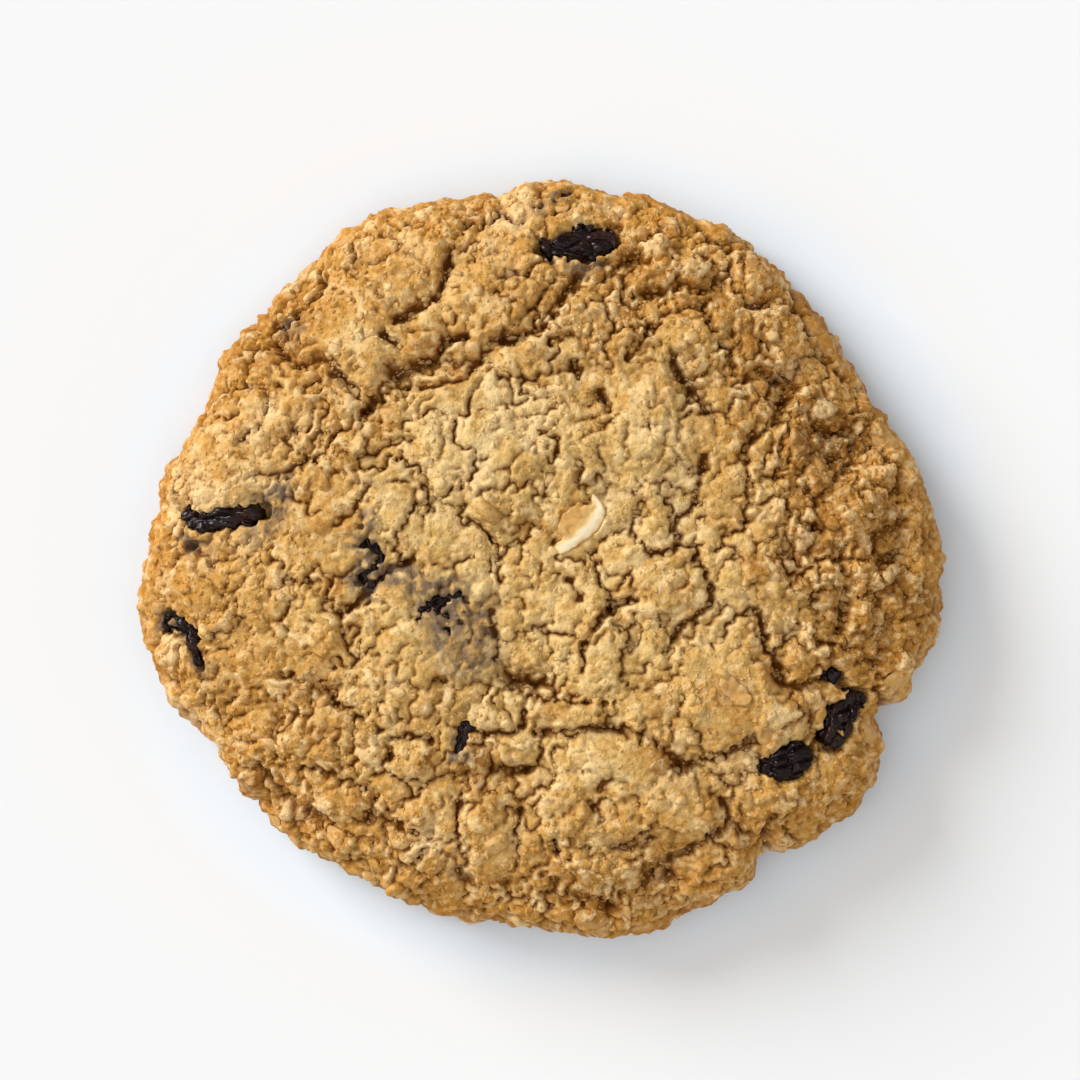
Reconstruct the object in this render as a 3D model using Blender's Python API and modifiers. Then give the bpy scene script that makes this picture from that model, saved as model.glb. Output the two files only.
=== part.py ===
"""An oatmeal cookie with raisins and white chocolate chips, lying on its flat baked base.

Every length in the tables is in millimetres and every angle in degrees. The origin is at the middle of
the base, +Z is up through the crust, +X runs along the wider way across. A Blender length is MM times
a millimetre length.
"""

import math

import bmesh
import bpy
import numpy as np
from mathutils import Matrix, Vector, noise

MM = 0.001

# The whole biscuit: how thick it is, how its edge is rounded and where it is widest.
CROWN_HEIGHT = 15.0
BELLY_HEIGHT = 4.2
TOP_ROUNDNESS = 2.8
BASE_ROUNDNESS = 6.0
BASE_FLATTENED = 0.35

# Mesh fineness. The dough is shaped finely and then thinned, so that triangles stay where it bends.
DOUGH_SEGMENTS = 200
DOUGH_RINGS = 56
DOUGH_KEPT = 0.22
FRUIT_SUBDIVISIONS = 3
FRUIT_KEPT = 0.62
CHIP_SIDES = 22

# Room left between the dough and each thing that is baked into it.
POCKET_GAP = 0.4

# Where the rim bends, seen from above: (direction, distance from the middle). A smooth closed curve
# runs through these.
RIM = (
    (0, 48.3), (12, 46.7), (24, 44.8), (36, 44.4), (48, 44.8), (60, 45.9),
    (76, 45.2), (88, 45.3), (98, 44.0), (107, 45.1), (118, 45.9), (131, 45.0),
    (146, 45.2), (155, 43.9), (168, 46.2), (178, 47.1), (187, 48.7), (199, 47.4),
    (208, 45.0), (216, 45.2), (222, 44.7), (228, 44.9), (240, 43.8), (256, 44.2),
    (268, 44.2), (282, 46.2), (299, 46.3), (314, 47.0), (323, 48.5), (330, 47.6),
    (341, 46.9), (348, 48.1),
)

# Splits in the rim: (direction, depth, half width in degrees).
RIM_SPLITS = (
    (65.0, 0.9, 1.3),
    (140.0, 1.1, 1.8),
    (173.0, 1.0, 1.2),
    (294.0, 0.7, 1.5),
    (307.5, 3.0, 2.4),
    (335.3, 3.0, 2.6),
)

# Swellings of the crust: (x, y, height, half length, half width, heading).
SWELLINGS = (
    (-9.0, 11.0, 0.9, 13.0, 10.0, 20),
    (12.5, 15.5, 1.1, 5.0, 4.5, 0),
    (23.8, -16.5, 1.5, 6.8, 6.4, 0),
    (38.5, 5.2, 1.1, 5.0, 4.0, 60),
    (12.2, -23.5, 1.0, 4.2, 3.2, 20),
    (16.5, -30.5, 1.1, 5.6, 3.6, 15),
    (-6.0, -31.0, 0.9, 3.6, 4.2, 0),
    (2.0, -18.5, 0.8, 3.8, 2.2, -10),
    (-14.0, -11.0, 1.0, 8.5, 7.0, -35),
    (-23.5, 30.0, 0.9, 6.0, 4.5, 40),
    (-5.5, 32.0, 0.9, 6.0, 5.0, 30),
    (8.0, 27.0, 0.9, 6.5, 5.5, 20),
    (27.0, 30.0, 0.8, 4.5, 4.5, 0),
    (11.5, -7.5, 0.8, 5.0, 4.5, 40),
    (25.5, -4.0, 0.7, 4.5, 3.5, 0),
    (-36.0, 16.0, 1.0, 6.0, 5.0, 50),
    (-39.0, -4.5, 0.7, 4.0, 3.5, 0),
    (-23.0, 15.0, 0.6, 5.0, 3.0, 50),
)

# Sunken seams between the swellings: (depth, half width, points along it).
SEAMS = (
    (1.7, 1.5, ((-30, 23.5), (-23, 21), (-20.5, 17.5), (-17, 20.5), (-9.5, 22), (-2, 27.5), (3, 33.5))),
    (1.2, 1.1, ((-8, 38), (-11, 34), (-14, 29.5), (-17.5, 28))),
    (1.3, 1.2, ((-24, -6), (-20, -3), (-16, -1), (-11.5, 0))),
    (1.4, 1.2, ((5, -13.5), (6.5, -9), (9, -5), (13, -4))),
    (1.2, 1.2, ((24.5, -6.5), (26.5, -10), (29.5, -16), (26.5, -21), (19, -24.5), (16, -22.5))),
    (1.3, 1.2, ((-7.5, -20.5), (-2.5, -20.5), (-2, -16), (5, -17), (8.5, -20))),
    (1.2, 1.2, ((10, 31.5), (18.5, 31.5), (20.5, 27), (24, 21.5))),
    (1.2, 1.2, ((13, 27), (17, 22.5), (22, 16.5))),
    (1.2, 1.2, ((14, -36.5), (19.5, -33.5), (22.5, -30), (26.5, -33))),
)

# Raisins: (x, y, length, width, thickness, heading, how far it stands proud of the crust).
RAISINS = {
    "raisin_top": (4.6, 37.9, 10.4, 6.0, 4.8, 8, 0.9),
    "raisin_left": (-37.9, 5.0, 11.4, 6.0, 4.6, 7, 0.5),
    "raisin_left_low": (-42.4, -9.4, 8.6, 3.8, 3.4, -48, 0.7),
    "raisin_right": (35.9, -18.8, 8.6, 5.0, 4.4, 56, 0.9),
    "raisin_right_low": (29.2, -24.0, 7.0, 5.2, 4.4, 20, 0.9),
    "raisin_right_tip": (34.8, -13.8, 3.0, 2.4, 2.4, 60, 0.4),
    "raisin_slit": (-9.5, -21.2, 5.4, 3.2, 3.4, 62, 0.3),
    "raisin_veiled": (-12.0, -5.7, 7.0, 6.0, 4.4, 35, 0.4),
    "raisin_seam": (-20.1, -0.3, 7.0, 4.0, 4.0, -84, 0.5),
    "raisin_edge": (-29.6, 28.8, 5.2, 3.2, 3.2, 30, 0.2),
    "raisin_rim": (2.8, 43.2, 3.6, 2.4, 2.4, 22, 0.5),
}

# White chocolate chips: (x, y, diameter, thickness, how far it stands proud, tilt, tilt direction).
CHIPS = {
    "white_chip_middle": (3.2, 4.4, 9.6, 4.2, 0.5, 9, 140),
    "white_chip_right": (23.3, -16.6, 10.4, 4.6, 0.4, 5, 40),
}

# Finishes: (sRGB colour, roughness).
FINISHES = {
    "baked_oat_dough": ((0.72, 0.54, 0.32), 0.85),
    "raisin_skin": ((0.10, 0.06, 0.07), 0.35),
    "toasted_white_chocolate": ((0.90, 0.78, 0.55), 0.5),
}


def clear_scene():
    """Removes what the scene holds, so that only the cookie is left at the end."""
    for found in list(bpy.data.objects):
        bpy.data.objects.remove(found)


def linear(channel):
    """One sRGB channel, 0 to 1, as the linear value that a shader takes."""
    return channel / 12.92 if channel <= 0.04045 else ((channel + 0.055) / 1.055) ** 2.4


def finish(name):
    """The Principled material of that name."""
    colour, roughness = FINISHES[name]
    made = bpy.data.materials.new(name)
    made.use_nodes = True
    shader = made.node_tree.nodes["Principled BSDF"]
    shader.inputs["Base Color"].default_value = [*map(linear, colour), 1.0]
    shader.inputs["Roughness"].default_value = roughness
    shader.inputs["Metallic"].default_value = 0.0
    return made


def rim_radius(direction):
    """Distance from the middle to the rim in a direction given in degrees, splits included."""
    angles = np.array([a for a, _ in RIM], float)
    radii = np.array([r for _, r in RIM], float)
    ahead = np.append(angles, angles[0] + 360)
    after = np.searchsorted(ahead, direction % 360, side="right")
    here = after - 1
    span = ahead[after] - ahead[here]
    share = (direction % 360 - ahead[here]) / span

    def bend(i):
        """Slope of the rim at landmark i, from its two neighbours."""
        i = i % len(RIM)
        before, behind = (i + 1) % len(RIM), i - 1
        return (radii[before] - radii[behind]) / ((angles[before] - angles[behind]) % 360)

    start, end = radii[here], radii[after % len(RIM)]
    radius = (
        start * (2 * share**3 - 3 * share**2 + 1)
        + bend(here) * span * (share**3 - 2 * share**2 + share)
        + end * (3 * share**2 - 2 * share**3)
        + bend(after) * span * (share**3 - share**2)
    )
    for where, depth, half_width in RIM_SPLITS:
        away = (direction - where + 180) % 360 - 180
        radius -= depth * math.exp(-((away / half_width) ** 2))
    return radius


def distance_to_path(x, y, points):
    """Shortest distance from (x, y) to a line through the points."""
    here = Vector((x, y))
    nearest = math.inf
    for start, end in zip(points, points[1:]):
        a, b = Vector(start), Vector(end)
        along = max(0.0, min(1.0, (here - a).dot(b - a) / (b - a).length_squared))
        nearest = min(nearest, (here - a.lerp(b, along)).length)
    return nearest


def relief(x, y):
    """Height that the swellings and seams add to the smooth dome at (x, y)."""
    height = 0.0
    for cx, cy, rise, half_length, half_width, heading in SWELLINGS:
        turn = math.radians(heading)
        dx, dy = x - cx, y - cy
        u = (dx * math.cos(turn) + dy * math.sin(turn)) / half_length
        v = (dy * math.cos(turn) - dx * math.sin(turn)) / half_width
        height += rise * math.exp(-(u * u + v * v))
    for depth, half_width, points in SEAMS:
        height -= depth * math.exp(-((distance_to_path(x, y, points) / half_width) ** 2))
    return height + 0.45 * noise.noise(Vector((x / 6.0, y / 6.0, 3.1)))


def crust_height(x, y):
    """Height of the crust above the base at (x, y)."""
    outward = min(1.0, math.hypot(x, y) / rim_radius(math.degrees(math.atan2(y, x))))
    dome = (1 - outward**TOP_ROUNDNESS) ** (1 / TOP_ROUNDNESS)
    return BELLY_HEIGHT + (CROWN_HEIGHT - BELLY_HEIGHT) * dome + relief(x, y) * min(1.0, 2.2 * dome)


def new_object(name, mesh_builder, collection, material=None):
    """An object whose mesh is what is in the mesh builder, shaded smooth."""
    mesh = bpy.data.meshes.new(name)
    mesh_builder.to_mesh(mesh)
    mesh_builder.free()
    mesh.shade_smooth()
    made = bpy.data.objects.new(name, mesh)
    collection.objects.link(made)
    if material is not None:
        mesh.materials.append(material)
    return made


def thin_out(made, kept):
    """Thins a mesh to a share of its triangles, fewest where it is flat."""
    thinned = made.modifiers.new("thin_out", "DECIMATE")
    thinned.ratio = kept


def dough_point(corner):
    """Where a point of the unit sphere lies on the dough, in millimetres."""
    direction = math.degrees(math.atan2(corner.y, corner.x))
    level, spread = abs(corner.z), math.hypot(corner.x, corner.y)
    above = corner.z >= 0
    power = 2 / (TOP_ROUNDNESS if above else BASE_ROUNDNESS)
    radius = rim_radius(direction) * min(1.0, spread) ** power
    x, y = radius * math.cos(math.radians(direction)), radius * math.sin(math.radians(direction))
    if above:
        return Vector((x, y, crust_height(x, y)))
    tucked = BELLY_HEIGHT * (1 - level**power) - BASE_FLATTENED
    return Vector((x, y, max(0.0, tucked)))


def build_dough(collection, material):
    """The baked dough: a sphere primitive pushed out to the rim, flat below and swollen above."""
    shaped = bmesh.new()
    bmesh.ops.create_uvsphere(shaped, u_segments=DOUGH_SEGMENTS, v_segments=DOUGH_RINGS, radius=1.0)
    for vertex in shaped.verts:
        vertex.co = dough_point(vertex.co) * MM
    dough = new_object("oat_dough", shaped, collection, material)
    thin_out(dough, DOUGH_KEPT)
    return dough


def placed(x, y, thickness, proud, heading):
    """The matrix that lays a thing in the crust, its top just proud, turned to its heading."""
    height = crust_height(x, y) + proud - thickness / 2
    return Matrix.Translation(Vector((x, y, height)) * MM) @ Matrix.Rotation(
        math.radians(heading), 4, "Z"
    )


def raisin_point(corner, length, width, thickness, seed):
    """Where a point of the unit sphere lies on a shrivelled raisin: long folds and small dents."""
    around = math.atan2(corner.z, corner.y)
    folds = abs(math.sin(2.5 * around + 1.4 * corner.x + seed))
    dents = noise.noise(Vector(corner) * 1.8 + Vector((seed, 0, 0)))
    shrink = 0.86 + 0.14 * folds + 0.08 * dents
    blunt = 1 - 0.12 * corner.x**4
    return Vector(
        (
            corner.x * length / 2 * blunt,
            corner.y * width / 2 * shrink,
            corner.z * thickness / 2 * shrink,
        )
    )


def build_raisin(name, seed, collection, material):
    """One raisin, with folds that run along it."""
    x, y, length, width, thickness, heading, proud = RAISINS[name]
    shaped = bmesh.new()
    bmesh.ops.create_icosphere(shaped, subdivisions=FRUIT_SUBDIVISIONS, radius=1.0)
    for vertex in shaped.verts:
        vertex.co = raisin_point(vertex.co, length, width, thickness, seed) * MM
    raisin = new_object(name, shaped, collection, material)
    raisin.matrix_world = placed(x, y, thickness, proud, heading)
    thin_out(raisin, FRUIT_KEPT)
    return raisin


def build_raisin_cutter(name, collection):
    """The smooth pocket that a raisin lies in."""
    x, y, length, width, thickness, heading, proud = RAISINS[name]
    shaped = bmesh.new()
    bmesh.ops.create_icosphere(shaped, subdivisions=2, radius=1.0)
    half = [side / 2 + POCKET_GAP for side in (length, width, thickness)]
    bmesh.ops.scale(shaped, vec=Vector(half) * MM, verts=shaped.verts)
    cutter = new_object(name + "_pocket", shaped, collection)
    cutter.matrix_world = placed(x, y, thickness, proud, heading)
    return cutter


def chip_profile(diameter, thickness, grown):
    """Half outline of a drop-shaped chip, down its outer side, grown all round by a gap."""
    steps = 8
    profile = []
    for step in range(steps + 1):
        turn = math.pi * step / steps
        radius = (diameter / 2 + grown) * math.sin(turn) ** 0.7
        flattened = math.copysign(abs(math.cos(turn)) ** 0.9, math.cos(turn))
        profile.append(Vector((radius, 0, (thickness / 2 + grown) * flattened)) * MM)
    return profile


def chip_matrix(name):
    """Where a chip lies: just proud of the crust, tipped a little."""
    x, y, _, thickness, proud, tilt, towards = CHIPS[name]
    lean = Matrix.Rotation(math.radians(towards), 4, "Z") @ Matrix.Rotation(
        math.radians(tilt), 4, "Y"
    )
    return placed(x, y, thickness, proud, 0) @ lean


def build_chip(name, grown, collection, material=None):
    """A turned white chocolate chip or, when grown, its pocket."""
    _, _, diameter, thickness, _, _, _ = CHIPS[name]
    turned = bmesh.new()
    corners = [turned.verts.new(point) for point in chip_profile(diameter, thickness, grown)]
    for upper, lower in zip(corners, corners[1:]):
        turned.edges.new((upper, lower))
    chip = new_object(name if material else name + "_pocket", turned, collection, material)
    screw = chip.modifiers.new("turned", "SCREW")
    screw.steps = screw.render_steps = CHIP_SIDES
    screw.use_merge_vertices = True
    screw.merge_threshold = 0.00001
    chip.matrix_world = chip_matrix(name)
    return chip


def cut_pocket(dough, cutter):
    """Takes a pocket out of the dough."""
    cutter.hide_render = True
    cutter.display_type = "WIRE"
    cut = dough.modifiers.new(cutter.name, "BOOLEAN")
    cut.operation = "DIFFERENCE"
    cut.object = cutter


def main():
    clear_scene()
    cookie = bpy.data.collections.new("oatmeal_cookie")
    cutters = bpy.data.collections.new("pockets")
    for collection in (cookie, cutters):
        bpy.context.scene.collection.children.link(collection)
    materials = {name: finish(name) for name in FINISHES}
    dough = build_dough(cookie, materials["baked_oat_dough"])
    for number, name in enumerate(RAISINS):
        build_raisin(name, 1.7 * number, cookie, materials["raisin_skin"])
        cut_pocket(dough, build_raisin_cutter(name, cutters))
    for name in CHIPS:
        build_chip(name, 0.0, cookie, materials["toasted_white_chocolate"])
        cut_pocket(dough, build_chip(name, POCKET_GAP, cutters))


main()
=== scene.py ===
"""Looks of an oatmeal cookie with raisins and white chocolate chips, baked on a flat tray.

Lengths in the tables and maps are millimetres, angles are degrees. The crust is worked out as a map: a
square of numbers over the crust laid out flat, so that the middle keeps its place and the rim and the
sides follow outside it. Each piece is shaped from that map, from the CAD nodes, or from both.
"""

import math

import bpy
import numpy as np
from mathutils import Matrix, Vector, noise
from mathutils.bvhtree import BVHTree


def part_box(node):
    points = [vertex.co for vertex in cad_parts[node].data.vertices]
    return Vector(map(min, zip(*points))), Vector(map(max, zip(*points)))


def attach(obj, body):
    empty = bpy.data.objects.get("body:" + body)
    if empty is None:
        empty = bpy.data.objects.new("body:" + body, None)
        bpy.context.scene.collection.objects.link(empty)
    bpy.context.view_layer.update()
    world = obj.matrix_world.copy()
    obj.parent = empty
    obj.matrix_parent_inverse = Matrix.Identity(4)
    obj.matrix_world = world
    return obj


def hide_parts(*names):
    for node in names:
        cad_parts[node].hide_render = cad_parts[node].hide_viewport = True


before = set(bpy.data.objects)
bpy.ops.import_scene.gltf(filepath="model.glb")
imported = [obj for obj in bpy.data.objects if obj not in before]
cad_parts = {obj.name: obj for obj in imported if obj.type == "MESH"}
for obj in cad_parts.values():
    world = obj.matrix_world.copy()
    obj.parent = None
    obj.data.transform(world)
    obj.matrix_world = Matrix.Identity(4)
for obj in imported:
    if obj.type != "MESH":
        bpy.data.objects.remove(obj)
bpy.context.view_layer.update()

MM = 0.001
RAISINS = sorted(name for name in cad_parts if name.startswith("raisin"))
CHIPS = sorted(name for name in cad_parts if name.startswith("white_chip"))

# The smooth loaf under the relief: the crown's height, the level of the widest belly, how square the
# crust's shoulder and the lower edge are, and how far the flat base reaches.
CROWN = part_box("oat_dough")[1].z / MM - 1.15
BELLY = 4.4
SHOULDER = 2.8
LOWER_EDGE = 2.6
BASE_REACH = 0.965
MEAN_RADIUS = 46.0

# The relief dies out over this last part of the way to the base's edge.
RELIEF_FADE = 2.5

# The most triangles that the dough may have.
MOST_TRIANGLES = 198000

# How many directions the rim is measured in.
DIRECTIONS = 1440

# The map of the crust laid out flat.
MAP_CELLS = 1024
MAP_SPAN = 128.0
PITCH = MAP_SPAN / MAP_CELLS
MAP_AXIS = ((np.arange(MAP_CELLS) + 0.5) * PITCH - MAP_SPAN / 2).astype(np.float32)
MAP_X, MAP_Y = np.meshgrid(MAP_AXIS, MAP_AXIS)

# Mounds of the crust, mostly over hidden raisins, oats and chips: (x, y, height, half length, half
# width, heading). A negative height is a place where the crust has sunk or broken away.
SWELLINGS = (
    (-9.0, 12.5, 0.7, 12.0, 8.0, 15),
    (12.7, 15.8, 1.0, 4.6, 4.2, 20),
    (38.0, 6.2, 1.0, 2.6, 4.4, -25),
    (12.0, -23.6, 1.1, 4.4, 3.0, 5),
    (15.8, -30.2, 1.1, 5.8, 3.4, 12),
    (-7.2, -31.4, 0.8, 2.2, 3.8, -8),
    (3.0, -18.2, 0.9, 4.2, 1.9, -12),
    (-3.2, -22.6, 0.6, 3.0, 1.4, 5),
    (-11.5, -11.5, 0.7, 6.5, 5.5, -25),
    (-22.0, 28.0, 0.8, 5.0, 4.5, 40),
    (-20.2, 21.2, 0.9, 1.3, 2.0, -5),
    (-20.5, 24.2, 0.7, 3.0, 1.8, 10),
    (-15.5, 33.5, 0.8, 4.0, 5.5, -35),
    (-13.5, 26.3, 0.7, 3.0, 3.0, 0),
    (-6.0, 30.0, 0.9, 4.2, 4.0, 20),
    (8.0, 27.5, 0.6, 6.5, 3.4, -8),
    (24.5, 28.0, 0.8, 3.2, 3.6, 0),
    (28.5, 27.0, 0.7, 1.6, 3.0, 0),
    (26.0, 34.0, 0.7, 4.5, 2.6, -45),
    (18.5, 34.8, 0.9, 1.8, 1.4, 0),
    (22.0, -16.0, 0.75, 7.4, 5.6, -50),
    (18.6, -10.6, 0.45, 2.6, 0.8, 25),
    (23.0, -10.4, 0.45, 2.6, 0.8, -10),
    (26.6, -12.6, 0.4, 2.0, 0.7, -55),
    (26.2, -15.2, 0.4, 0.8, 2.6, 20),
    (15.0, -3.0, 0.8, 4.4, 3.4, 25),
    (7.5, -11.0, 0.6, 2.6, 5.0, 10),
    (25.5, -2.8, 0.8, 4.2, 2.8, 0),
    (-36.5, 12.5, 0.8, 5.0, 4.0, 50),
    (-33.0, 22.8, 0.7, 2.6, 1.8, 45),
    (-26.5, 19.5, 0.6, 4.2, 2.6, -30),
    (-40.5, -3.4, 0.8, 3.0, 2.2, -20),
    (-38.5, -7.6, 0.7, 1.8, 2.4, 0),
    (-22.4, 14.4, 0.8, 3.4, 1.9, 35),
    (-17.0, -3.8, 0.5, 4.5, 2.6, 25),
    (-30.0, -9.0, 0.4, 6.0, 5.0, 0),
    (-25.5, -21.5, 0.7, 5.0, 2.6, 0),
    (-23.8, -28.6, 0.9, 3.2, 2.6, -20),
    (-22.8, -33.4, 0.7, 1.8, 2.4, -30),
    (-15.0, -24.0, 0.6, 3.6, 1.6, 10),
    (-14.0, -29.0, 0.5, 4.0, 2.4, 0),
    (32.0, -1.2, 0.7, 1.3, 2.4, -10),
    (37.8, -6.6, 0.7, 1.6, 2.2, 0),
    (31.5, -12.0, 0.6, 2.4, 2.6, 0),
    (30.5, -17.0, 0.6, 2.2, 2.8, -20),
    (26.5, -28.0, 0.7, 3.4, 1.8, 10),
    (3.0, -30.0, 0.4, 4.0, 4.0, 0),
    (6.5, -36.6, 0.5, 5.0, 1.8, 0),
    (21.0, -37.6, 0.6, 5.0, 2.0, 35),
    (-33.2, -16.2, 0.5, 1.2, 1.2, 0),
    (11.0, 1.0, 0.5, 1.4, 0.9, 45),
    (-13.5, 22.4, -1.2, 5.8, 1.7, 20),
    (-3.0, 26.3, -0.7, 2.6, 0.9, 5),
    (17.6, 21.2, -0.9, 1.1, 3.6, 38),
    (13.0, 31.6, -0.6, 2.8, 0.8, 3),
    (29.5, 20.5, -0.8, 1.2, 3.2, -10),
    (34.5, 15.5, -0.6, 3.4, 1.0, -15),
    (12.2, -27.2, -0.6, 3.4, 1.0, 38),
    (-1.0, -14.8, -0.9, 3.0, 1.0, -8),
    (-31.0, -28.2, -0.6, 5.5, 1.0, -36),
    (7.0, -41.2, -0.8, 3.4, 0.7, -10),
    (43.4, 3.0, -0.7, 0.7, 3.2, 0),
    (8.0, -5.9, -0.8, 1.4, 0.8, 15),
    (16.2, -24.6, -0.9, 1.2, 0.9, 0),
    (28.4, -11.9, -0.8, 0.8, 1.2, 30),
)

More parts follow.
